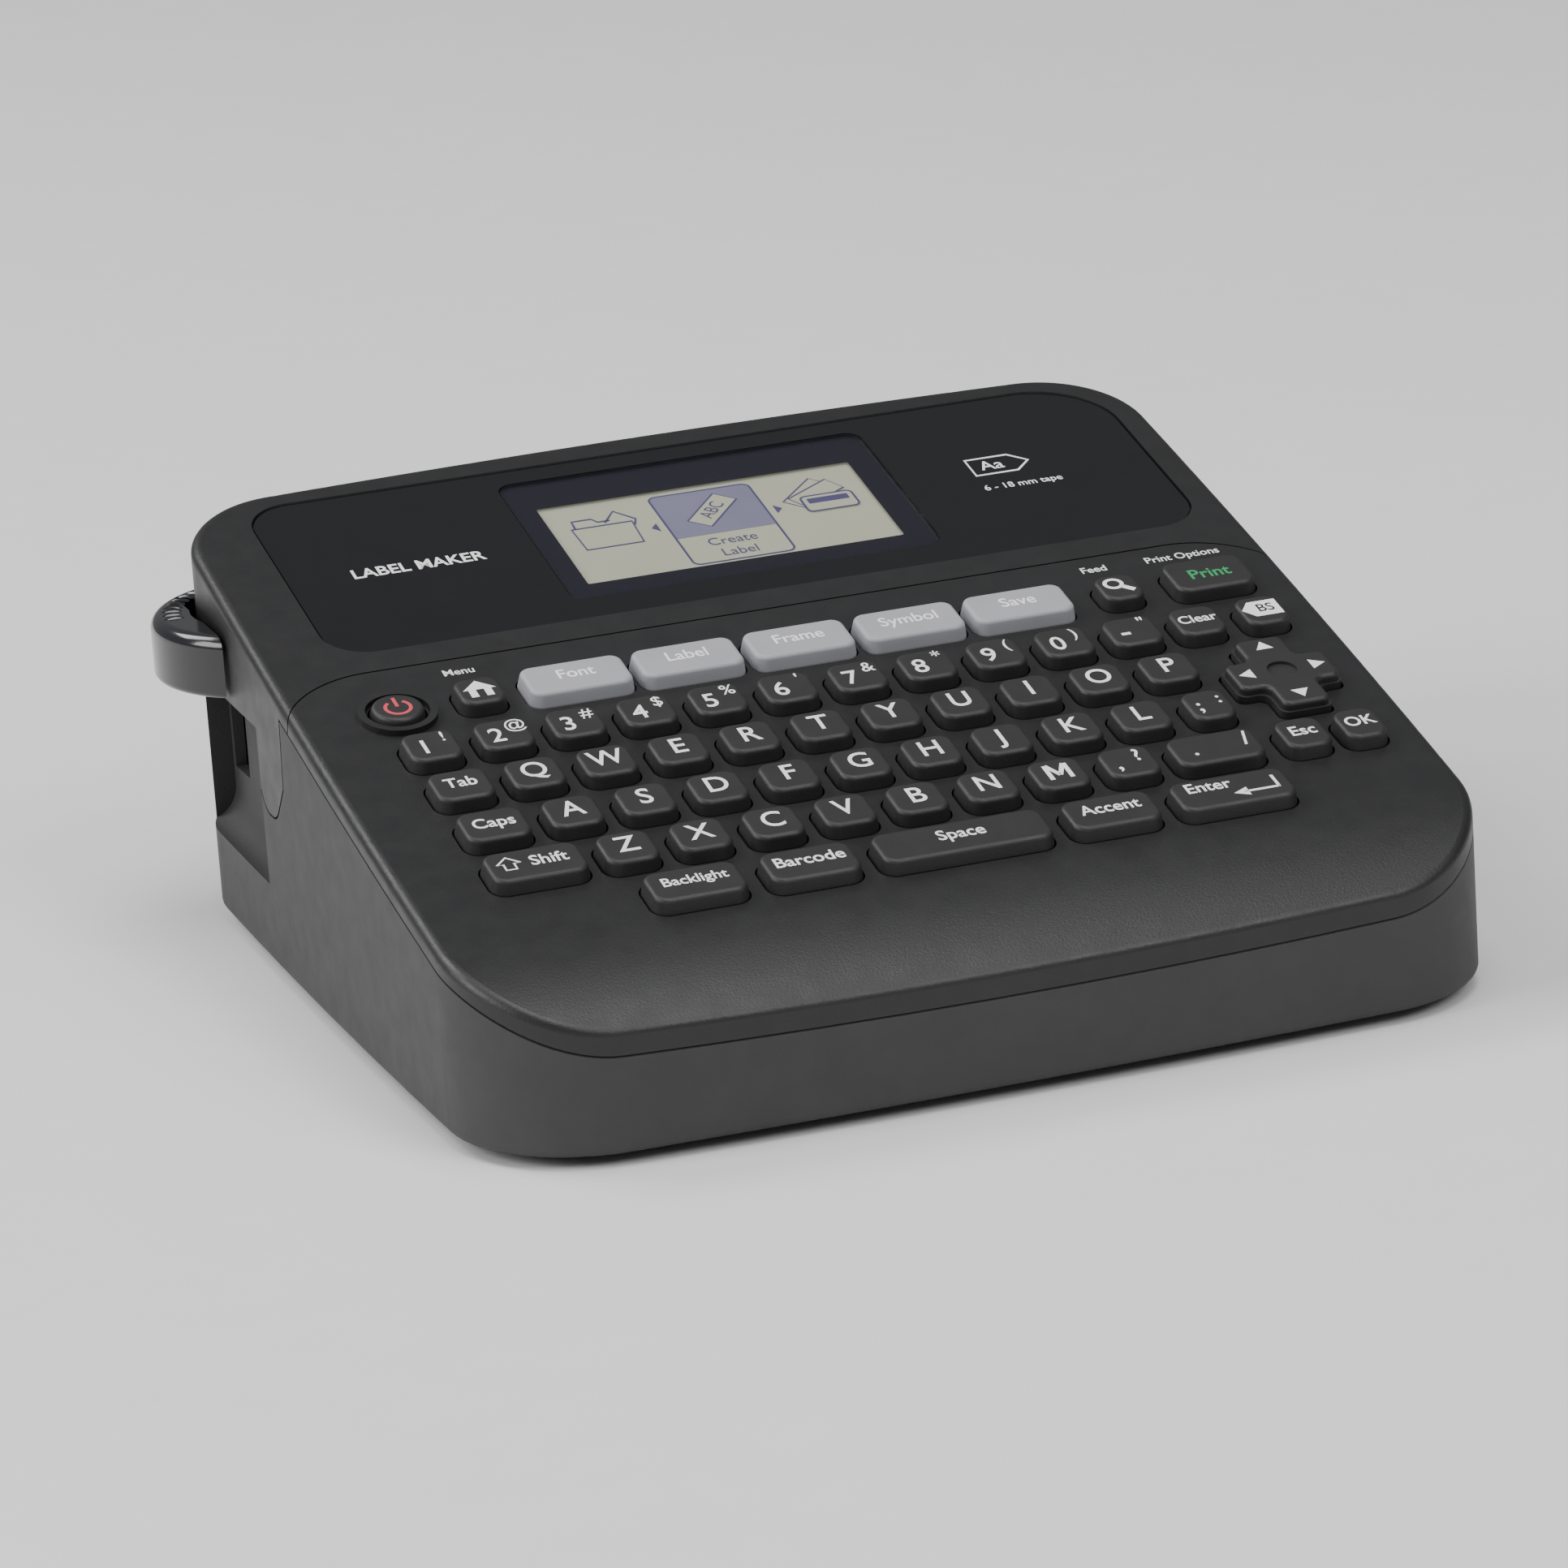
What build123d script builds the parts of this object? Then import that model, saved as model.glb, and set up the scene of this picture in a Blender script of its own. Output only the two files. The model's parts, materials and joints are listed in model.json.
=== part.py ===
"""Desktop label maker with a tape cassette: housings, keyboard, print unit, cutter and supplies.

Frame: +Z up, +Y from the palm rest towards the display, origin on the table under the middle of
the whole machine. All lengths are in millimetres.
"""

import math
import os

from build123d import *

os.makedirs("parts", exist_ok=True)

# ---------------------------------------------------------------- driving dimensions
body_width = 180.0          # housing, left face to right face
body_depth = 177.0          # housing, front to rear
rear_height = 72.0          # table to the deck line at the rear face
front_height = 27.0         # table to the deck line at the front face
lever_reach = 8.0           # how far the cutter lever stands out of the left face
foot_height = 2.0
front_corner = 24.0         # plan radius of the front corners
rear_corner = 19.0          # plan radius of the rear corners
side_bulge = 1.2            # how far each side bows out from corner to corner
end_bulge = 2.2
wall = 2.6                  # housing wall
floor_wall = 2.4
deck_wall = 2.8
palm_length = 23.0          # stretch of deck that rolls down at the front
palm_radius = 60.0
edge_radius = 1.8           # rounding of the deck's rim
cover_depth = 3.4           # height of the covers' rim, down to the housing's parting line
seam = 0.4                  # gap between neighbouring housing pieces
seam_place = 113.9          # deck distance from the front edge to the seam between the covers
running = 0.05              # radial clearance of a shaft in its bore

# keyboard, measured on the deck: across from the left edge, up from the front edge
key_size = 9.0              # square face of a letter key at its foot is key_size + key_flare
key_flare = 0.9
key_height = 2.6
key_corner = 2.3
key_gap = 0.35              # clearance of a key in its opening
key_root = 4.2              # how far a key reaches below the deck
key_travel = 1.3
key_round = 0.8             # rounding of a key's top edge
column_pitch = 12.55
number_row, top_row, middle_row, bottom_row, space_row = 83.2, 69.6, 55.8, 42.3, 28.6
function_row = 98.3
key_mat_depth = 5.8         # top of the rubber mat below the deck
key_mat_thick = 0.6
board_thick = 1.4

# display
fascia_width, fascia_length = 160.0, 55.0
fascia_centre = (93.6, 148.0)       # across, up the deck
fascia_thick = 1.0
fascia_corner, fascia_far_corner = 8.0, 15.0      # the corner behind on the right is wider
fascia_sink = 0.25          # top of the fascia below the deck
guard_inner, guard_outer, guard_high = 5.5, 6.8, 1.1    # ring round the power key
window_width, window_length = 68.6, 44.0
window_centre = (92.9, 149.2)
window_thick = 0.8
lcd_thick = 2.6

# tape supply and print unit
cassette_length, cassette_width, cassette_thick = 83.0, 67.0, 18.0
cassette_wall = 1.5
cassette_notch_x, cassette_notch_y = 18.0, 23.0   # open corner that takes the head and platen
cassette_left = 20.0        # from the housing's left face
cassette_rear = 4.0         # from the housing's rear face
cassette_base = 25.0        # above the table
tape_width = 12.0
tape_thick = 0.2
tape_from_rear = 18.5       # tape path, from the housing's rear face
bay_gap = 0.8               # play round the cassette in its bay
bay_wall = 1.4
chassis_thick = 1.6
platen_radius = 5.0
platen_from_left = 29.0
shaft_radius = 1.5
gear_module = 0.8
gear_thick = 3.2
pinion_teeth, drive_teeth, idler_teeth, platen_teeth, take_up_teeth = 12, 36, 20, 20, 24
motor_radius = 7.2
motor_height = 28.0

# tape exit and cutter
exit_front, exit_rear = 122.5, 164.5      # pocket in the left side, from the front face
exit_low, exit_high = 17.0, 45.0
exit_depth = 6.5
blade_travel = 3.0
lever_radius = 22.0
lever_top = 57.0
lever_angle = 9.0

# power
battery_radius, battery_length = 7.1, 50.0
battery_gap = 0.6
battery_right = 16.0        # battery box wall, from the housing's right face
battery_rear = 10.0         # from the housing's rear face

# back cover in the floor
hatch_left, hatch_right = 14.0, 14.0      # margins of floor beside the hatch
hatch_front, hatch_rear = 86.0, 9.0       # from the front face and from the rear face
hatch_gap = 0.6
hatch_corner = 4.0          # plan radius of the hatch at its latch side
rib_thick = 1.6
latch_width, latch_depth, latch_travel = 18.0, 5.0, 1.5

# fasteners, feet and sockets
boss_radius, boss_bore, head_recess = 3.6, 1.6, 2.9
screw_radius, screw_head_radius, screw_head_high, screw_length = 1.5, 2.7, 1.8, 9.0
foot_radius, foot_round = 4.5, 0.5
jack_radius, jack_bore, jack_pin = 4.9, 2.9, 0.8
usb_width, usb_height, usb_shell = 8.8, 5.0, 0.6
socket_deep = 12.5          # inner end of both sockets, from the right face
socket_back = 2.0           # thickness of a socket's closed end
socket_gap = 0.3            # play round a socket in the housing

# ---------------------------------------------------------------- derived places
left = -(body_width + lever_reach) / 2
left_face = left + lever_reach
right_face = left_face + body_width
middle_x = (left_face + right_face) / 2
front_face, rear_face = -body_depth / 2, body_depth / 2
slope = math.degrees(math.atan2(rear_height - front_height, body_depth))
slope_sin, slope_cos = math.sin(math.radians(slope)), math.cos(math.radians(slope))
deck_length = body_depth / slope_cos
DECK = Plane(origin=(left_face, front_face, front_height), x_dir=(1, 0, 0),
             z_dir=(0, -slope_sin, slope_cos))
floor_top = foot_height + floor_wall
tall = rear_height + 30.0
wide = body_width + 60.0
far_left = left - 20.0


def side_point(up, height):
    """Y and Z of a point `up` along the deck from the front edge and `height` above it."""
    return (front_face + up * slope_cos - height * slope_sin,
            front_height + up * slope_sin + height * slope_cos)


def deck_under(y, depth):
    """Height above the table of the plane `depth` below the deck, at this y."""
    return front_height + (y - front_face) * math.tan(math.radians(slope)) - depth / slope_cos


def save(builder, name):
    builder.part.label = name
    export_step(builder.part, f"parts/{name}.step")


def box(x0, x1, y0, y1, z0, z1):
    """A plain block between two corners, for use as a tool."""
    middle = Pos((x0 + x1) / 2, (y0 + y1) / 2, (z0 + z1) / 2)
    return middle * Box(x1 - x0, y1 - y0, z1 - z0, mode=Mode.PRIVATE)


# ---------------------------------------------------------------- housing envelope
def outline_block(inset, z0, z1):
    """The housing's plan outline, bowed sides and round corners, stood up from z0 to z1."""
    x0, x1 = left_face + side_bulge, right_face - side_bulge
    y0, y1 = front_face + end_bulge, rear_face - end_bulge
    mid_x, mid_y = (x0 + x1) / 2, (y0 + y1) / 2
    with BuildPart() as block:
        with BuildSketch(Plane.XY.offset(z0)) as plan:
            with BuildLine():
                ThreePointArc((x0, y0), (mid_x, front_face), (x1, y0))
                ThreePointArc((x1, y0), (right_face, mid_y), (x1, y1))
                ThreePointArc((x1, y1), (mid_x, rear_face), (x0, y1))
                ThreePointArc((x0, y1), (left_face, mid_y), (x0, y0))
            make_face()
            fillet(plan.vertices().group_by(Axis.Y)[0], front_corner)
            fillet(plan.vertices().filter_by(lambda v: v.Y > y1 - 1), rear_corner)
            if inset:
                offset(amount=-inset, kind=Kind.INTERSECTION)
        extrude(amount=z1 - z0)
    return block.part


def under_deck_block(depth, z0):
    """Everything under the deck line lowered by `depth`, from side to side, down to z0."""
    centre = side_point(palm_length, -palm_radius)
    with BuildPart() as block:
        with BuildSketch(Plane.YZ):
            with BuildLine():
                roll = CenterArc(centre, palm_radius - depth, 90 + slope, 34)
                Polyline(roll @ 1, ((roll @ 1).X, z0), (rear_face + 20, z0),
                         side_point(deck_length + 20, -depth), roll @ 0)
            make_face()
        extrude(amount=wide, both=True)
    return block.part


def on_deck_rim(edge):
    """True for an edge of the deck's rim, false for the line where the palm roll starts."""
    spot = edge @ 0.5
    up = (spot.Y - front_face) * slope_cos + (spot.Z - front_height) * slope_sin
    height = -(spot.Y - front_face) * slope_sin + (spot.Z - front_height) * slope_cos
    if up < palm_length - 0.01:
        cy, cz = side_point(palm_length, -palm_radius)
        height = math.hypot(spot.Y - cy, spot.Z - cz) - palm_radius
    starts_roll = abs(up - palm_length) < 0.01 and edge.length > body_width / 2
    return abs(height) < 0.05 and not starts_roll


envelope_outline = outline_block(0, foot_height, tall)
envelope_profile = under_deck_block(0, foot_height)
with BuildPart() as envelope:
    add(envelope_outline)
    add(envelope_profile, mode=Mode.INTERSECT)
    fillet(envelope.edges().filter_by(on_deck_rim), edge_radius)
    fillet(envelope.faces().sort_by(Axis.Z)[0].edges(), 1.6)

inner_outline = outline_block(wall, floor_top, tall)
inner_profile = under_deck_block(deck_wall, floor_top)
with BuildPart() as cavity:
    add(inner_outline)
    add(inner_profile, mode=Mode.INTERSECT)

with BuildPart() as skin:
    add(envelope.part)
    add(cavity.part, mode=Mode.SUBTRACT)


def seam_block(shift):
    """The rear side of the line between the two deck covers, moved back by `shift`."""
    across0, across1 = -10.0, body_width + 10.0
    bend = 17.0                 # the seam curves forward over this stretch at each side
    drop = 10.5
    up = seam_place + shift
    with BuildPart() as block:
        with BuildSketch(DECK):
            with BuildLine():
                left_bend = TangentArc((bend, up), (0, up - drop), tangent=(-1, 0))
                right_bend = TangentArc((body_width - bend, up), (body_width, up - drop),
                                        tangent=(1, 0))
                Line(left_bend @ 0, right_bend @ 0)
                Polyline(left_bend @ 1, (across0, up - drop - 10), (across0, deck_length + 40),
                         (across1, deck_length + 40), (across1, up - drop - 10), right_bend @ 1)
            make_face()
        extrude(amount=60, both=True)
    return block.part


def skirt_block(grow):
    """The deep part of the display cover on the left side, above the tape exit."""
    pocket_front, pocket_rear = front_face + exit_front, front_face + exit_rear
    with BuildPart() as block:
        with BuildSketch(Plane.YZ.offset(left_face - 10)) as side:
            with BuildLine():
                Polyline((pocket_front - 21, tall), (pocket_front - 15, exit_high - 7),
                         (pocket_front - 9, exit_high - 14), (pocket_front, exit_high - 14),
                         (pocket_front, exit_high), (pocket_rear + 2, exit_high),
                         (pocket_rear + 2, tall), close=True)
            make_face()
            fillet(side.vertices().filter_by(lambda v: v.Z < exit_high - 5
                                             and v.Y < pocket_front - 1), 5)
            if grow:
                offset(amount=grow)
        extrude(amount=10 + wall + 0.6)
    return block.part


rim_top = under_deck_block(cover_depth - seam / 2, 0)
rim_low = under_deck_block(cover_depth + seam / 2, 0)
skirt_full = skirt_block(0)
skirt_clear = skirt_block(seam)
rear_side = seam_block(seam / 2)
front_side = seam_block(-seam / 2)

# ---------------------------------------------------------------- keys
keys = {}


def highest_face(builder):
    """The face that lies furthest above the deck."""
    return builder.faces().sort_by(lambda f: DECK.to_local_coords(f.center()).Z)[-1]


def key(node, across, up, width=key_size, length=key_size, corner=key_corner):
    """Notes one key of this node: its centre on the deck and its top face."""
    keys.setdefault(node, []).append((across, up, width, length, corner))


def key_row(node, first, up, count, pitch=column_pitch):
    for n in range(count):
        key(node, first + n * pitch, up)


key("home_key", 32.1, function_row, 7.7, 8.2)
for n, across in enumerate((49.2, 69.1, 89.2, 109.3, 129.4)):
    key(f"function_key_{n + 1}", across, function_row, 17.9, 9.3, 2.0)
key("preview_key", 148.1, function_row, 7.2, 8.2)
key("print_key", 164.8, function_row, 14.4, 10.0)
key_row("number_keys", 18.9, number_row, 11)
key("clear_and_backspace_keys", 156.4, number_row, 8.3)
key("clear_and_backspace_keys", 168.4, number_row, 7.7)
key_row("top_letter_keys", 32.3, top_row, 10)
key_row("middle_letter_keys", 34.2, middle_row, 9)
key("middle_letter_keys", 146.8, middle_row, 7.6)
key_row("bottom_letter_keys", 39.0, bottom_row, 8)
key("bottom_letter_keys", 142.4, bottom_row, 15.4)
key("shift_keys", 19.6, top_row, 9.8)
key("shift_keys", 20.7, middle_row, 11.0)
key("shift_keys", 23.3, bottom_row, 16.1)
key("escape_and_ok_keys", 158.2, bottom_row, 7.9)
key("escape_and_ok_keys", 168.6, bottom_row, 7.2)
key("mode_keys", 45.8, space_row, 15.8)
key("mode_keys", 65.5, space_row, 15.4)
key("mode_keys", 118.0, space_row, 15.4)
key("space_key", 91.8, space_row, 29.5)
key("enter_key", 139.6, space_row, 20.2)
power_place, power_radius = (17.7, function_row), 4.3
cursor_place = (163.2, 62.6)
cursor_width, cursor_length, cursor_arm = 18.2, 22.4, 8.6


def key_openings():
    """The holes through the deck, one for each key, a little wider than the key's foot."""
    room = key_flare + 2 * key_gap
    with BuildPart() as cuts:
        with BuildSketch(DECK.offset(-deck_wall - 2)):
            for group in keys.values():
                for across, up, width, length, corner in group:
                    with Locations((across, up)):
                        RectangleRounded(width + room, length + room, corner + room / 2)
            with Locations(power_place):
                Circle(power_radius + room / 2)
        extrude(amount=deck_wall + 4)
        with BuildSketch(DECK.offset(-deck_wall - 2)) as cross:
            with Locations(cursor_place):
                Rectangle(cursor_width + room, cursor_arm + room)
                Rectangle(cursor_arm + room, cursor_length + room)
            fillet(cross.vertices(), 1.6)
        extrude(amount=deck_wall + 4)
    return cuts.part


def key_shape(across, up, width, length, corner):
    """One key: a straight foot in its opening and a tapered, round-edged cap above the deck."""
    foot_w, foot_l = width + key_flare, length + key_flare
    with BuildPart() as cap:
        with BuildSketch(DECK.offset(-key_root)):
            with Locations((across, up)):
                RectangleRounded(foot_w, foot_l, corner + key_flare / 2)
        extrude(amount=key_root)
        with BuildSketch(DECK):
            with Locations((across, up)):
                RectangleRounded(foot_w, foot_l, corner + key_flare / 2)
        with BuildSketch(DECK.offset(key_height)):
            with Locations((across, up)):
                RectangleRounded(width, length, corner)
        loft()
        fillet(highest_face(cap).edges(), key_round)
    return cap.part


for node, group in keys.items():
    shapes = [key_shape(*one) for one in group]
    with BuildPart() as piece:
        for shape in shapes:
            add(shape)
    save(piece, node)

with BuildPart() as power_key:
    with BuildSketch(DECK.offset(-key_root)):
        with Locations(power_place):
            Circle(power_radius + key_flare / 2)
    extrude(amount=key_root)
    with BuildSketch(DECK):
        with Locations(power_place):
            Circle(power_radius + key_flare / 2)
    with BuildSketch(DECK.offset(key_height - 0.8)):
        with Locations(power_place):
            Circle(power_radius)
    loft()
    fillet(highest_face(power_key).edges(), key_round)
save(power_key, "power_key")

with BuildPart() as cursor_key:
    with BuildSketch(DECK.offset(-key_root)) as cross_foot:
        with Locations(cursor_place):
            Rectangle(cursor_width + key_flare, cursor_arm + key_flare)
            Rectangle(cursor_arm + key_flare, cursor_length + key_flare)
        fillet(cross_foot.vertices(), 1.6)
    extrude(amount=key_root + key_height * 0.45)
    with BuildSketch(DECK.offset(key_height * 0.45)) as cross_top:
        with Locations(cursor_place):
            Rectangle(cursor_width, cursor_arm)
            Rectangle(cursor_arm, cursor_length)
        fillet(cross_top.vertices(), 1.5)
    extrude(amount=key_height * 0.6)
    fillet(highest_face(cursor_key).edges(), key_round)
    with BuildSketch(DECK.offset(key_height * 1.05 - 0.5)):
        with Locations(cursor_place):
            Circle(2.6)
    extrude(amount=2, mode=Mode.SUBTRACT)
save(cursor_key, "cursor_key")

# ---------------------------------------------------------------- deck covers
openings = key_openings()
with BuildPart() as keyboard_cover:
    add(skin.part)
    add(rim_top, mode=Mode.SUBTRACT)
    add(front_side, mode=Mode.SUBTRACT)
    add(skirt_clear, mode=Mode.SUBTRACT)
    add(openings, mode=Mode.SUBTRACT)
    with BuildSketch(DECK.offset(-0.5)):          # guard ring that keeps the power key from bumps
        with Locations(power_place):
            Circle(guard_outer)
            Circle(guard_inner, mode=Mode.SUBTRACT)
    extrude(amount=0.5 + guard_high)
save(keyboard_cover, "keyboard_cover")



def fascia_plan(grow):
    """The outline of the display surround, on the floor of its recess."""
    with BuildSketch(DECK.offset(-fascia_thick)) as plan:
        with Locations(fascia_centre):
            Rectangle(fascia_width + 2 * grow, fascia_length + 2 * grow)
        fillet(plan.vertices().sort_by(lambda v: v.X + v.Y)[-1], fascia_far_corner + grow)
        fillet(plan.vertices().sort_by(lambda v: v.X + v.Y)[:3], fascia_corner + grow)
    return plan.sketch


fascia_recess, fascia_outline = fascia_plan(key_gap), fascia_plan(0)
with BuildPart() as display_cover:
    add(skin.part)
    add(rim_top, mode=Mode.SUBTRACT)
    add(rear_side, mode=Mode.INTERSECT)
display_rim = display_cover.part
lever_hollow = box(far_left, left_face + 20.1, front_face + exit_rear + 2.6, rear_face + 5,
                   lever_top - 19, lever_top + 1)
with BuildPart() as display_cover:
    add(skin.part)
    add(skirt_full, mode=Mode.INTERSECT)
    add(display_rim)
    add(lever_hollow, mode=Mode.SUBTRACT)
    add(fascia_recess)
    extrude(amount=fascia_thick + 5, mode=Mode.SUBTRACT)
    with BuildSketch(DECK.offset(-deck_wall - 1)):
        with Locations(window_centre):
            RectangleRounded(window_width - 3, window_length - 3, 2)
    extrude(amount=deck_wall + 3, mode=Mode.SUBTRACT)
save(display_cover, "display_cover")

with BuildPart() as display_fascia:
    add(fascia_outline)
    extrude(amount=fascia_thick - fascia_sink)
    with BuildSketch(DECK.offset(-fascia_thick)):
        with Locations(window_centre):
            RectangleRounded(window_width, window_length, 3)
    extrude(amount=fascia_thick, mode=Mode.SUBTRACT)
save(display_fascia, "display_fascia")

with BuildPart() as display_window:
    with BuildSketch(DECK.offset(-fascia_thick)):
        with Locations(window_centre):
            RectangleRounded(window_width - 2 * 0.15, window_length - 2 * 0.15, 2.8)
    extrude(amount=window_thick)
    with BuildSketch(DECK.offset(-fascia_thick)):
        with Locations(window_centre):
            RectangleRounded(window_width - 3.4, window_length - 3.4, 1.8)
    extrude(amount=-(deck_wall - fascia_thick))
save(display_window, "display_window")

with BuildPart() as lcd_panel:
    with BuildSketch(DECK.offset(-deck_wall - 0.1)):
        with Locations(window_centre):
            RectangleRounded(window_width + 3, window_length + 3, 1)
    extrude(amount=-lcd_thick)
save(lcd_panel, "lcd_panel")

# ---------------------------------------------------------------- base shell
pocket_front, pocket_rear = front_face + exit_front, front_face + exit_rear
pocket_back = left_face + exit_depth
tape_y = rear_face - tape_from_rear
tape_low = cassette_base + (cassette_thick - tape_width) / 2
tape_high = tape_low + tape_width
pocket_block = box(left_face + 0.2, pocket_back + 2, pocket_front - 2, pocket_rear + 2,
                   exit_low - 2, exit_high + 1)
pocket_cut = box(far_left, pocket_back, pocket_front, pocket_rear, exit_low, exit_high)
tape_slot = box(far_left, pocket_back + 3, tape_y - 4.5, tape_y + 4.5, tape_low - 1.5, tape_high + 2)
hatch_x0, hatch_x1 = left_face + hatch_left, right_face - hatch_right
hatch_y0, hatch_y1 = front_face + hatch_front, rear_face - hatch_rear
jack_y, usb_y, socket_z = rear_face - 38, rear_face - 58, 20.0
head_seat = foot_height + 3.2                 # where the screw heads bear, above the table
boss_places = [(left_face + 14, front_face + 16), (right_face - 14, front_face + 16),
               (left_face + 9, front_face + 78), (right_face - 9, front_face + 78),
               (left_face + 30, front_face + 78), (right_face - 40, front_face + 78)]



def hatch_plan(z, inset):
    """The hatch's outline: square at its hinge side, so that it can swing, and round at its latch side."""
    with BuildSketch(Plane.XY.offset(z)) as plan:
        with Locations(((hatch_x0 + hatch_x1) / 2, (hatch_y0 + hatch_y1) / 2)):
            Rectangle(hatch_x1 - hatch_x0 - 2 * inset, hatch_y1 - hatch_y0 - 2 * inset)
        fillet(plan.vertices().group_by(Axis.Y)[-1], hatch_corner - inset)
    return plan.sketch


hatch_opening = hatch_plan(0, 0)
hatch_cover = hatch_plan(foot_height, hatch_gap)

with BuildPart() as base_shell:
    add(skin.part)
    add(rim_low, mode=Mode.INTERSECT)
    add(pocket_block)
    add(envelope.part, mode=Mode.INTERSECT)
    add(skirt_clear, mode=Mode.SUBTRACT)
    add(pocket_cut, mode=Mode.SUBTRACT)
    scoop = base_shell.edges().filter_by(Axis.Y).filter_by(
        lambda e: abs((e @ 0.5).X - pocket_back) < 0.1 and abs((e @ 0.5).Z - exit_low) < 0.1)
    fillet(scoop, exit_depth - 0.7)
    add(tape_slot, mode=Mode.SUBTRACT)
    add(lever_hollow, mode=Mode.SUBTRACT)
    add(hatch_opening)                            # hatch for the supplies
    extrude(amount=floor_top + 1, mode=Mode.SUBTRACT)
    for x, y in boss_places:                      # screw bosses that carry the covers
        boss_top = deck_under(y, key_mat_depth + key_mat_thick + board_thick) - 2.0
        with BuildSketch(Plane.XY.offset(foot_height)):
            with Locations((x, y)):
                Circle(boss_radius)
        extrude(amount=boss_top - foot_height)
        with BuildSketch(Plane.XY):
            with Locations((x, y)):
                Circle(boss_bore)
        extrude(amount=tall, mode=Mode.SUBTRACT)
        with BuildSketch(Plane.XY):
            with Locations((x, y)):
                Circle(head_recess)
        extrude(amount=head_seat, mode=Mode.SUBTRACT)
    with BuildSketch(Plane.YZ.offset(right_face - wall - 3)):     # power and data sockets
        with Locations((jack_y, socket_z)):
            Circle(jack_radius + socket_gap)
        with Locations((usb_y, socket_z)):
            RectangleRounded(usb_width + 2 * socket_gap, usb_height + 2 * socket_gap, 0.8)
    extrude(amount=12, mode=Mode.SUBTRACT)
save(base_shell, "base_shell")

with BuildPart() as feet:
    foot_places = [(left_face + 22, front_face + 30), (right_face - 22, front_face + 30),
                   (left_face + 8, rear_face - 40), (right_face - 8, rear_face - 40)]
    with BuildSketch(Plane.XY):
        for x, y in foot_places:
            with Locations((x, y)):
                Circle(foot_radius)
    extrude(amount=foot_height)
    fillet(feet.faces().filter_by(Axis.Z).filter_by(
        lambda f: f.center().Z < 0.1).edges(), foot_round)
save(feet, "feet")

# ---------------------------------------------------------------- back cover and latch
cassette_x0 = left_face + cassette_left
cassette_x1 = cassette_x0 + cassette_length
cassette_y1 = rear_face - cassette_rear
cassette_y0 = cassette_y1 - cassette_width
cassette_top = cassette_base + cassette_thick
pad_top = cassette_base - 0.6
latch_x = (hatch_x0 + hatch_x1) / 2

with BuildPart() as back_cover:
    add(hatch_cover)
    extrude(amount=floor_wall)
    fillet(back_cover.edges().filter_by(Axis.X).group_by(Axis.Y)[0], floor_wall / 2 - 0.05)
    with BuildSketch(Plane.XY.offset(floor_top)):                 # ribs that press the cassette home
        for x in (cassette_x0 + 14, cassette_x0 + 46, cassette_x1 - 12):
            with Locations((x, (cassette_y0 + cassette_y1) / 2 + 2)):
                Rectangle(rib_thick, 30)
    extrude(amount=pad_top - floor_top)
    with BuildSketch(Plane.XY):                                   # thumb scoop for the latch
        with Locations((latch_x, hatch_y1 - hatch_gap)):
            Rectangle(latch_width + 2 * hatch_gap, 2 * (latch_depth + latch_travel + hatch_gap))
    extrude(amount=floor_top + 1, mode=Mode.SUBTRACT)
save(back_cover, "back_cover")

with BuildPart() as cover_latch:
    with BuildSketch(Plane.XY.offset(foot_height + 0.2)):
        with Locations((latch_x, hatch_y1 - hatch_gap - 1.2 - latch_depth / 2 + 0.6)):
            RectangleRounded(latch_width, latch_depth - 1.2, 1)
    extrude(amount=floor_wall - 0.2)
    for n in range(3):                                            # grip ridges, seen from below
        with BuildSketch(Plane.XY.offset(foot_height + 0.2)):
            with Locations((latch_x, hatch_y1 - hatch_gap - 4.2 + n * 1.2)):
                Rectangle(latch_width - 5, 0.5)
        extrude(amount=0.5, mode=Mode.SUBTRACT)
save(cover_latch, "cover_latch")

# ---------------------------------------------------------------- keyboard mat and boards
def deck_sheet(depth, thick, x_margin, up0, up1):
    """A flat sheet under the deck, parallel to it."""
    with BuildPart() as sheet:
        with BuildSketch(DECK.offset(-depth - thick)):
            with Locations((body_width / 2, (up0 + up1) / 2)):
                RectangleRounded(body_width - 2 * x_margin, up1 - up0, 5)
        extrude(amount=thick)
    return sheet.part


board_front, board_rear = 15.0, function_row + 5.4
mat_sheet = deck_sheet(key_mat_depth, key_mat_thick, 7.0, board_front, board_rear)
board_sheet = deck_sheet(key_mat_depth + key_mat_thick, board_thick, 6.0, board_front - 1, board_rear)
with BuildPart() as key_mat:
    add(mat_sheet)
save(key_mat, "key_mat")

with BuildPart() as keyboard_board:
    add(board_sheet)
save(keyboard_board, "keyboard_board")

board_base = floor_top + 3.0
with BuildPart() as main_board:
    with BuildSketch(Plane.XY.offset(board_base)):
        with Locations((middle_x, front_face + 48)):
            RectangleRounded(body_width - 60, 52, 2)
    extrude(amount=board_thick)
    with BuildSketch(Plane.XY.offset(board_base + board_thick)):
        with Locations((middle_x - 18, front_face + 50)):
            Rectangle(16, 16)
        with Locations((middle_x + 12, front_face + 56)):
            Rectangle(11, 8)
    extrude(amount=1.6)
    with BuildSketch(Plane.XY.offset(board_base + board_thick)):
        with Locations(*[(middle_x + 34 + n * 9, front_face + 40) for n in range(3)]):
            Circle(3.1)
    extrude(amount=6.5)
save(main_board, "main_board")

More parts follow.
